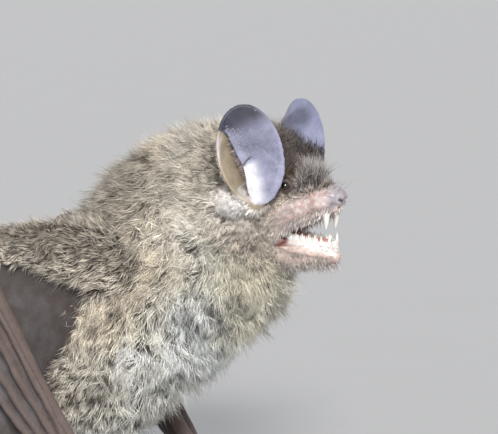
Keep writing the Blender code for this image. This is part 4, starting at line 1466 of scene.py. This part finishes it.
def head_regions(points):
    """How far each place belongs to the brow, the muzzle's tuft, the cheek and the foot of the ear."""
    left = folded_left(points)
    x, y, z = left.T
    brow = smooth_step(11.6, 16.6, x) * smooth_step(34.8, 36.6, z) * smooth_step(7.4, 4.6, y)
    tuft = smooth_step(17.6, 18.8, x) * smooth_step(-0.2, 0.6, z - muzzle_fur_edge(x))
    cheek = smooth_step(4.8, 2.8, np.linalg.norm((left - (15.2, 6.0, 32.0)) * (0.8, 0.5, 1.05), axis=1))
    knob = smooth_step(4.4, 1.6, np.linalg.norm(left - KNOB, axis=1))
    return brow * (1 - tuft), tuft, cheek, knob


def coat_flow(roots, normals, heading):
    """The lie of the coat: from the head back along the body, and down with its own weight."""
    x, _, z = folded_left(roots).T
    brow, tuft, cheek, knob = head_regions(roots)
    throat = smooth_step(6.0, 12.0, x) * smooth_step(31.0, 26.0, z)
    flow = layered(
        heading + (0, 0, -0.35) + np.outer(throat, (0.75, 0, -0.8)),
        ((-0.6, 0.2, -0.9), cheek),
        ((-0.8, 0.3, -0.7), knob),
        ((0.3, 0.1, 0.9), brow),
        ((0.15, 0.15, 1.0), tuft),
    )
    swirl = 0.4 * noise(roots, 5.0, 31) + 0.75 * noise(roots, 1.5, 32)
    return turned(sided(flow, roots), normals, swirl * (1 - 0.5 * tuft) * (1 - 0.75 * cheek))


def coat_shape(roots, t, angle):
    """The length of the coat at its roots, its angles off the skin at root and tip, and its clumping."""
    left = folded_left(roots)
    x, y, z = left.T
    brow, tuft, cheek, knob = head_regions(roots)
    under = smooth_step(1.4, 2.5, angle)
    throat = smooth_step(7.0, 12.0, x) * smooth_step(32.0, 29.0, z)
    length = np.interp(t, (0.0, 1.0, 1.7, 2.4, 3.2, 4.5, 6.5, 8.0), (1.2, 1.4, 1.9, 2.6, 2.8, 2.8, 2.7, 2.2))
    length = length * (1 + 0.08 * under - 0.12 * throat)
    root_angle = np.interp(t, (0, 2, 8), (1.0, 1.05, 0.95)) + 0.05 * under
    tip_angle = np.interp(t, (0, 2, 8), (0.5, 0.65, 0.6)) + 0.2 * under
    tuft_length = np.interp(x, (17.6, 19.2, 20.6, 21.5), (2.0, 3.0, 2.9, 1.2))
    tuft_length = (tuft_length * smooth_step(-0.2, 1.2, z - muzzle_fur_edge(x))).clip(0.7)
    length, root_angle, tip_angle = layered(
        np.column_stack((length, root_angle, tip_angle)),
        ((0.8, 0.7, 0.2), cheek),
        ((0.75, 0.6, 0.25), knob),
        ((1.7, 1.1, 0.8), brow),
        (np.outer(tuft_length, (1, 0, 0)) + (0, 1.15, 1.0), tuft),
    ).T
    poll = smooth_step(10.6, 12.4, x) * smooth_step(16.4, 14.8, x)
    poll = poll * smooth_step(39.6, 41.2, z) * smooth_step(6.5, 4.5, y)
    length = (length + poll) * (0.3 + 0.7 * smooth_step(0.7, 2.6, np.linalg.norm(left - EYE_CENTRE, axis=1)))
    clump = np.interp(t, (0, 1.5, 3.0), (0.3, 0.48, 0.56)) + 0.08 * smooth_step(0.8, 1.8, angle)
    return length, (root_angle, tip_angle + 0.3 * poll), clump


def coat_colour(roots, t, angle):
    """The colour of the coat at its roots."""
    x, y, z = folded_left(roots).T
    brow, tuft, cheek, knob = head_regions(roots)
    belly = smooth_step(1.4, 2.5, angle) * smooth_step(1.8, 3.4, t) + 0.12 * noise(roots, 2.6, 44)
    throat = smooth_step(7.0, 12.0, x) * smooth_step(32.0, 29.0, z)
    # Painted shadow over the fur between the ears, strongest out towards each ear.
    ear_base_shadow = smooth_step(37.4, 39.4, z) * smooth_step(12.6, 14.8, x) * (0.5 + 0.5 * smooth_step(0, 3, y))
    # Painted shade where the coat parts on the side of the chest.
    parting_shade = smooth_step(1.0, 0.4, np.hypot((x - 9.6) / 4.8, (z - 22.6) / 3.0)) * smooth_step(1.0, 3.0, y)
    parting_shade = parting_shade * smooth_step(-0.6, 0.2, noise(roots, 1.3, 46))
    colour = layered(
        BACK_FUR,
        (FLANK_FUR, smooth_step(0.5, 1.5, angle)),
        (BELLY_FUR, belly.clip(0, 1)),
        (THROAT_FUR, 0.8 * throat),
        (CROWN_FUR, 0.7 * smooth_step(9.0, 13.5, x) * smooth_step(33.0, 38.0, z)),
        (CHEEK_FUR, cheek),
        (KNOB_FUR, knob),
        # Brown fur and painted shadow of the ear.
        (BROW_FUR_AND_SHADOW, brow),
        (TUFT_FUR, tuft),
        (EAR_BASE_FUR_AND_SHADOW, ear_base_shadow * (1 - tuft)),
        (PARTING_SHADE_FUR, 0.9 * parting_shade),
    )
    tone = 1 + 0.2 * noise(roots, 3.8, 41) + 0.13 * noise(roots, 1.5, 42) + 0.2 * noise(roots, 0.55, 45)
    tone = tone * (1 - 0.7 * knob) + 0.7 * knob
    warmth = 1 + np.outer(0.025 * noise(roots, 5.0, 43), (1.0, 0.2, -1.2))
    return colour * tone[:, None] * warmth


def over_eye(points):
    """Which points would hide an eye."""
    away = folded_left(points) - EYE_CENTRE
    ahead = away @ unit(EYE_FACING)
    off = np.linalg.norm(away - np.outer(ahead, unit(EYE_FACING)), axis=1)
    return (ahead > -0.3) & (ahead < 3.5) & (off < 0.66 + 0.16 * ahead)


def kept(strands, test, *others):
    """Leaves out the strands of which any outer point meets a test."""
    count, size = strands.shape[:2]
    bad = test(strands.reshape(-1, 3)).reshape(count, size)[:, size // 2 :].any(axis=1)
    return (strands[~bad], *(other[~bad] for other in others))


def side_half(share, roots):
    """Shares from 0 to 1 brought into the left or the right half of an unwrap of both sides."""
    return share * 0.49 + 0.5 * (roots[:, 1] < 0)


def long_coat(name, surface, weight, count, width, per_clump, material, rng, ear_tree=None):
    """The long coat of one side of a length of the body."""
    points, faces, normals = surface
    roots, out = scatter(points, faces, normals, weight, int(count * COUNT_SHARE), rng)
    t, heading, angle = body_place(roots)
    length, lift, clump = coat_shape(roots, t, angle)
    colour = coat_colour(roots, t, angle)
    _, _, cheek, knob = head_regions(roots)
    first = np.maximum(0.5 * cheek, 0.85 * knob)
    flow = coat_flow(roots, out, heading)
    strands = grow(roots, out, flow, length, lift, width, rng, clump * (1 - 0.8 * first), per_clump)
    places = np.stack(((t - t.min()) / np.ptp(t), angle / np.pi), axis=1)
    if ear_tree:
        for test in (lambda p: in_front_of_ear(p, ear_tree), in_mouth, over_eye):
            strands, places, colour, first = kept(strands, test, places, colour, first)
    return add_coat(name, strands, places, colour, material, rng, first)


def limb_coat(name, surface, weight, line, count, material, rng):
    """The shorter coat of an upper arm or a thigh, thinning out along the limb."""
    points, faces, normals = surface
    roots, out = scatter(points, faces, normals, weight, int(count * COUNT_SHARE), rng)
    start, limb_line = np.array(line[0]), np.subtract(line[1], line[0])
    axis = unit(limb_line)
    off = folded_left(roots) - start
    share = (off @ axis) / np.linalg.norm(limb_line)
    flow = sided(np.tile(axis, (len(roots), 1)), roots) + (0, 0, -0.3)
    flow = turned(unit(flow), out, 0.5 * noise(roots, 2.5, 51))
    length = np.interp(share, (0, 0.5, 1.0), (3.0, 2.0, 0.7))
    tone = 1 + 0.16 * noise(roots, 3.0, 52)
    colour = mixed(BACK_FUR, FLANK_FUR, smooth_step(-0.2, 0.6, -out[:, 2])) * tone[:, None]
    strands = grow(roots, out, flow, length, (0.9, 0.4), LONG_WIDTH, rng, 0.5, 9)
    off = off - np.outer(off @ axis, axis)
    around = np.arctan2(off @ np.cross(axis, (0, 0, 1)), off[:, 2]) / (2 * np.pi) + 0.5
    places = np.stack((side_half(share.clip(0, 1), roots), around), axis=1)
    return add_coat(name, strands, places, colour, material, rng)


def face_weight(points, normals, bare, mouth):
    """How densely short hair grows at each place of the face, the backs of the ears and their rear rims."""
    x, _, z = folded_left(points).T
    a, b, _ = in_ear_plane(folded_left(points))
    face = smooth_step(15.2, 16.6, x) * (1 - 0.9 * bare_strip(x, z, 0.7) * smooth_step(15.0, 16.5, x))
    face = face * (1 - 0.8 * smooth_step(21.6, 22.4, x) * (z > 34))
    face = face * smooth_step(0.9, 0.3, z - muzzle_fur_edge(x))
    face = face * (1 - in_mouth(points - normals * 0.3)) * (1 - bare) * (mouth < 0.15)
    behind = bare * smooth_step(0.0, -0.3, sided(normals, points) @ EAR_OUT)
    rear_rim = smooth_step(-2.0, -3.0, a) * smooth_step(2.4, 1.2, b)
    return face + behind * (1.1 * ear_back_fur_and_shadow(a, b) + 1.3 * rear_rim)


def face_coat(surface, bare, mouth, count, material, rng):
    """Short, thin hair over the muzzle, lips and chin, on the backs of the ears and along their rear rims."""
    points, faces, normals = surface
    weight = face_weight(points, normals, bare, mouth)
    roots, out = scatter(points, faces, normals, weight, int(count * COUNT_SHARE), rng)
    left = folded_left(roots)
    x, _, z = left.T
    lower = smooth_step(30.6, 29.6, z)
    on_ear = (distance_to([ear_shell()], left, 0.6) < 0.5) * (z > 33)
    rear = on_ear * smooth_step(-1.8, -2.6, in_ear_plane(left)[0])
    flow = layered(
        (-0.8, 0.15, -0.75),
        ((0.3, 0.1, -0.9), lower),
        ((0.2, 0.0, 0.95), on_ear),
        ((-0.9, 0.2, -0.3), rear),
    )
    flow = turned(sided(flow, roots), out, 0.7 * noise(roots, 1.2, 61))
    length = np.interp(x, (15.0, 17.0, 19.5, 22.5), (1.0, 0.8, 0.65, 0.4))
    length = length * (1 + 0.7 * lower * smooth_step(29, 28, z)) * (1 - on_ear) + on_ear * (1.3 - 0.75 * rear)
    # Hair on the ear backs takes the dark fur and painted shadow of the ears' feet.
    colour = layered(FACE_FUR, (CHIN_FUR, lower), (EAR_BASE_FUR_AND_SHADOW, on_ear), (CHEEK_FUR, rear))
    colour = colour * (1 + 0.2 * noise(roots, 0.8, 62))[:, None]
    strands = grow(roots, out, flow, length, (0.85, 0.35), FACE_WIDTH, rng, 0.4, 9)
    around = np.arctan2(np.abs(roots[:, 1]), z - 34.0) / np.pi
    places = np.stack((side_half((x - x.min()) / np.ptp(x), roots), around), axis=1)
    strands, places, colour = kept(strands, over_eye, places, colour)
    return add_coat("coat_face", strands, places, colour, material, rng, 0.4)


def add_fringe(material, rng):
    """The coarse pointed hair along the lips and under the chin, and the whiskers."""
    rows = []

    def row(line, direction, long, width, each, spread, loose=0.16):
        """Hairs at the points of a line, so many at each, that point about one way."""
        line = np.repeat(line, each, axis=0)
        count = len(line)
        place = line + rng.normal(0, spread, (count, 3))
        way = unit(np.array(direction) + rng.normal(0, loose, (count, 3)))
        rows.append((place, way, long * rng.uniform(0.6, 1.1, count), width * rng.uniform(0.8, 1.2, count)))

    upper = lip_line(np.linspace(0.0, 0.93, 34)) + (0, 0.12, -0.02)
    lower = lip_line(np.linspace(0.05, 1.0, 24), lower=True)
    brow_whiskers = np.array(((22.3, 0.8, 36.1), (22.1, 1.0, 35.9), (22.6, 0.8, 35.7)))
    nose_whiskers = np.array(((22.9, 0.9, 34.6), (22.6, 1.1, 34.2)))
    chin_whiskers = np.array(((21.9, 0.5, 28.0), (21.2, 0.8, 27.6), (20.4, 1.0, 27.5)))
    row(upper, (-0.3, 0.3, -1.0), 1.15, 0.06, 2, 0.06, 0.12)
    row(upper + (0, 0.25, 0.4), (-0.35, 0.45, -1.0), 0.85, 0.05, 3, 0.13, 0.12)
    row(lower + (0, 0.1, -1.0), (0.15, 0.3, -1.0), 0.6, 0.025, 4, 0.2)
    row(lower[6:] * (1, 0.6, 1) + (0, 0, -1.6), (0.35, 0.15, -1.0), 1.0, 0.028, 6, 0.25)
    row(brow_whiskers, (0.62, 0.2, 0.8), 2.9, 0.024, 1, 0.05, 0.04)
    row(nose_whiskers, (1.0, 0.5, 0.0), 1.7, 0.016, 1, 0.05, 0.05)
    row(chin_whiskers, (0.7, 0.2, -0.8), 1.9, 0.016, 2, 0.12, 0.08)
    roots, flow, length, width = (np.concatenate(column) for column in zip(*rows))
    flip = (1, -1, 1)
    roots = np.concatenate([roots, roots * flip + rng.normal(0, 0.04, roots.shape)])
    flow = np.concatenate([flow, unit(flow * flip + rng.normal(0, 0.05, flow.shape))])
    length, width = np.tile(length, 2), np.tile(width, 2)
    line = np.stack([roots + flow * (length * share)[:, None] for share in (-0.1, 0.33, 0.67, 1.0)], axis=1)
    line[..., 2] -= np.outer(length, (0, 0.01, 0.05, 0.1))
    strands = strand_bodies(line, width, FRINGE_RINGS, rng)
    colour = np.tile(FRINGE_FUR, (len(roots), 1))
    places = np.stack(((roots[:, 0] - 15) / 9, (roots[:, 2] - 27) / 10), axis=1)
    return add_coat("coat_fringe", strands, places, colour, material, rng, 0.4)


# --- Teeth, tongue, claws and the ears' fine bumps -------------------------------------------------------


def tooth(base, tip, radius, lean=(0, 0, 0), sides=12, rings=9):
    """A pointed tooth that leans over in its middle."""
    heading = unit(tip - base)
    across = unit(np.cross(heading, (1, 0.2, 0)))
    other = np.cross(heading, across)
    points = []
    for f in np.linspace(0, 1, rings):
        place = mixed(base, tip, f) + np.array(lean) * math.sin(math.pi * f)
        size = radius * (1 - f**1.25) ** 0.9 + 0.02
        points += [place + size * (math.cos(a) * across + math.sin(a) * other) for a in ring_angles(sides)]
    return np.array(points), stack_faces(rings, sides)


def upper_teeth():
    """A long canine, four cheek teeth of two cusps and two small incisors, on the left."""
    made = []
    gum = lip_line(0.80) * (1, 0.82, 1)
    made.append(tooth(gum + (0, 0, 0.2), gum + (0.12, 0.02, -2.05), 0.52, (0.14, 0.06, 0)))
    for share in (0.30, 0.42, 0.54, 0.66):
        gum = lip_line(share) * (1, 0.8, 1)
        made.append(ball(gum, (0.36, 0.28, 0.4), sides=14))
        for shift, deep in ((-0.22, 0.5), (0.14, 0.7)):
            made.append(tooth(gum + (shift, 0, 0.1), gum + (shift, 0, -deep), 0.2))
    gum = lip_line(0.93) * (1, 0.7, 1)
    made.append(tooth(gum + (0.05, -0.15, 0.1), gum + (0.12, -0.15, -0.5), 0.17))
    made.append(tooth(gum + (0.15, -0.45, 0.12), gum + (0.22, -0.45, -0.42), 0.14))
    return made


def lower_teeth():
    """A canine, five cheek teeth of three cusps, a single-cusped one before them and three small incisors."""
    made = []
    gum = lip_line(0.93, lower=True) * (1, 0.85, 1)
    made.append(tooth(gum + (0.1, 0, 0.3), gum + (0.3, 0, 1.85), 0.3, (0.08, 0, 0)))
    for share in (0.2, 0.33, 0.46, 0.59, 0.71):
        gum = lip_line(share, lower=True) * (1, 0.84, 1)
        made.append(ball(gum + (0, 0, 0.75), (0.42, 0.27, 0.5), sides=14))
        for shift, tall in ((-0.24, 1.35), (0.0, 1.55), (0.24, 1.3)):
            made.append(tooth(gum + (shift, 0, 0.6), gum + (shift, 0, tall), 0.2))
    gum = lip_line(0.83, lower=True) * (1, 0.86, 1)
    made.append(tooth(gum + (0, 0, 0.4), gum + (0, 0, 1.5), 0.3))
    for k in range(3):
        gum = lip_line(1.0, lower=True) * (1, 0, 1) + (-0.02 * k, 0.16 + 0.24 * k, 0)
        made.append(tooth(gum + (-0.05, 0, 0.2), gum + (0.08, 0, 1.05), 0.13))
    return made


def add_teeth():
    """The teeth of both jaws as one piece."""
    material = mottled(
        "tooth",
        0.6,
        ((0.80, 0.79, 0.76), (0.78, 0.735, 0.66)),
        0.3,
        (0.16, 0.3),
        lambda m: m.bump(m.noise(0.2), 0.01, 0.4),
        Subsurface_Weight=0.2,
        Subsurface_Scale=0.0004,
        Coat_Weight=0.3,
    )
    made = upper_teeth() + lower_teeth()
    obj = add_mesh("teeth", *joined(made + [mirror(shape) for shape in made]), material)


def add_tongue():
    """The ridged tongue with the groove along its middle."""
    points, faces = tube(TONGUE, 60, 48, domes=(0.5, 0.5))
    points[:, 2] -= 0.16 * lump(points[:, 1], 0, 0.25) * (points[:, 2] > 30.1)
    points += 0.035 * noise(points, 0.22, 71)[:, None] * unit(points - (18.5, 0, 29.5))
    material = mottled(
        "tongue",
        0.5,
        ((0.52, 0.20, 0.19), (0.66, 0.32, 0.29)),
        0.3,
        (0.22, 0.4),
        lambda m: m.bump(m.cells(0.12), 0.03, 0.6),
        Subsurface_Weight=0.2,
        Subsurface_Scale=0.0005,
    )
    obj = add_mesh("tongue_skin", points, faces, material)
    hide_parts("tongue")


def claw(root, direction, length, radius, drop):
    """A thin hooked claw."""
    rows = []
    for f in np.linspace(0, 1, 10):
        turn = f * math.pi / 2
        place = root + unit(direction) * length * math.sin(turn) - (0, 0, drop * (1 - math.cos(turn)))
        size = radius * (1 - f) ** 0.7 + 0.02
        rows.append((*place, size, size * 0.75))
    return tube(rows, 20, 10, domes=(0.1, 0.02), floor=0.02)


def add_claws():
    """The claws of the toes and thumbs as one piece."""
    made = [claw(place - direction * 0.15, direction, 1.35, 0.24, 0.42) for place, direction in FOOT_CLAWS]
    thumb_line = np.subtract(THUMB_TIP, THUMB_JOINT)
    made.append(claw(np.add(THUMB_TIP, (0, 0, 0.12)), thumb_line, 1.15, 0.27, 0.42))
    material = mottled(
        "claw",
        0.6,
        ((0.20, 0.13, 0.09), (0.42, 0.32, 0.24)),
        0.3,
        (0.2, 0.38),
        lambda m: m.bump(m.noise(0.15), 0.01, 0.4),
        Coat_Weight=0.3,
    )
    obj = add_mesh("claws", *joined(made + [mirror(shape) for shape in made]), material)


def add_papillae(material, rng):
    """Fine pale bumps over the inner leaf of the ears and along their front rims."""
    a, b, out, lobe = leaf_grid()
    grid = ear_place(a, b, out)
    normal = unit(np.cross(np.gradient(grid, axis=0), np.gradient(grid, axis=1)))
    normal *= np.sign(normal @ EAR_OUT)[..., None]
    rows, columns = a.shape
    share = np.arange(columns) / columns
    band = lump(b + 0.35 * a, 0.6, 1.5) * (1 - share)
    front = lump(share, 0.93, 0.07) * lump(b, 0.0, 3.2)
    weight = (0.05 + band + 0.7 * front) * (1 - 0.9 * lobe) * (1 - 0.9 * smooth_step(2.4, 3.8, b))
    made = []
    for index in rng.choice(rows * columns, PAPILLAE, replace=False, p=(weight / weight.sum()).ravel()):
        i, j = divmod(int(index), columns)
        size = rng.uniform(0.03, 0.06)
        place = grid[i, j] + normal[i, j] * 0.165 + rng.normal(0, 0.03, 3)
        made.append(ball(place, (size, size, size), sides=6))
    obj = add_mesh("ear_papillae", *joined(both(joined(made))), material)
    count = len(obj.data.vertices)
    give(obj, "tint", np.tile(PAPILLA_LILAC, (count, 1)), "FLOAT_COLOR")
    give(obj, "gloss", np.full(count, 0.5))


def add_skin(head, body, material):
    """The one skin. Returns where the head is bare and mouth, and the body's gaps to trunk and limbs."""
    head_colour, head_gloss, bare, mouth = paint_head(head[0], head[2])
    body_colour, body_gloss, trunk_gap, limb_gap, leather = paint_body(body[0])
    points = np.concatenate([head[0], body[0]])
    obj = add_mesh("skin", points, np.concatenate([head[1], body[1] + len(head[0])]), material)
    give(obj, "tint", np.concatenate([head_colour, body_colour]), "FLOAT_COLOR")
    give(obj, "gloss", np.concatenate([head_gloss, body_gloss]))
    give(obj, "leather", np.concatenate([np.zeros(len(head[0])), leather]))
    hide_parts(*[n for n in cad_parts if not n.startswith("eye") and n != "tongue"])
    return bare, mouth, trunk_gap, limb_gap


def build():
    """Everything that the model has, in the order in which its random numbers are drawn."""
    rng = np.random.default_rng(SEED)
    add_camera()
    add_stage()
    skin = skin_material()
    head, body = head_skin(), body_skin()
    bare, mouth, trunk_gap, limb_gap = add_skin(head, body, skin)
    add_eyes()
    add_teeth()
    add_tongue()
    add_claws()
    add_papillae(skin, rng)
    fur = fur_material()
    add_coats(head, body, bare, mouth, trunk_gap, limb_gap, fur, rng)


def add_coats(head, body, bare, mouth, trunk_gap, limb_gap, fur, rng):
    """Every piece of the coat, on the head and body that are given as points, faces and normals."""
    ears = joined([ear_shell(), ear_leaf()])
    ear_tree = BVHTree.FromPolygons(ears[0].tolist(), ears[1])
    t_head, _, _ = body_place(head[0])
    t_body, _, _ = body_place(body[0])
    x, _, z = folded_left(head[0]).T
    _, _, cheek, knob = head_regions(head[0])
    snout = smooth_step(15.4, 16.6, x) * smooth_step(27.4, 28.2, z)
    snout = snout * smooth_step(0.3, -0.3, z - muzzle_fur_edge(x))
    under_jaw = smooth_step(16.2, 17.0, x) * smooth_step(28.4, 27.6, z)
    furred = (1 - bare) * (1 - snout) * (1 - under_jaw) * (x < 21.6) * ((t_head < HEAD_END) | (knob > 0.5))
    furred = furred * (1 + 2.2 * cheek + 1.0 * knob)
    trunk = smooth_step(0.6, 0.25, trunk_gap)
    for side, sign in (("left", 1), ("right", -1)):
        weight = furred * (head[0][:, 1] * sign > 0)
        long_coat("coat_head_" + side, head, weight, HEAD_STRANDS, HEAD_WIDTH, 8, fur, rng, ear_tree)
        for name, start, end, count, per_clump in LENGTHS_OF_COAT:
            weight = trunk * (body[0][:, 1] * sign > 0) * (t_body >= start) * (t_body < end)
            tree = ear_tree if start < NECK_END else None
            long_coat(name + side, body, weight, count, LONG_WIDTH, per_clump, fur, rng, tree)
    arm, thigh = limb_fur(folded_left(body[0]), limb_gap)
    off_trunk = smooth_step(0.3, 0.8, trunk_gap)
    limb_coat("coat_arms", body, arm * off_trunk, (SHOULDER, ELBOW), ARM_STRANDS, fur, rng)
    limb_coat("coat_thighs", body, thigh * off_trunk, (HIP, KNEE), THIGH_STRANDS, fur, rng)
    face_coat(head, bare, mouth, FACE_STRANDS, fur, rng)
    add_fringe(fur, rng)


build()
low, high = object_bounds()
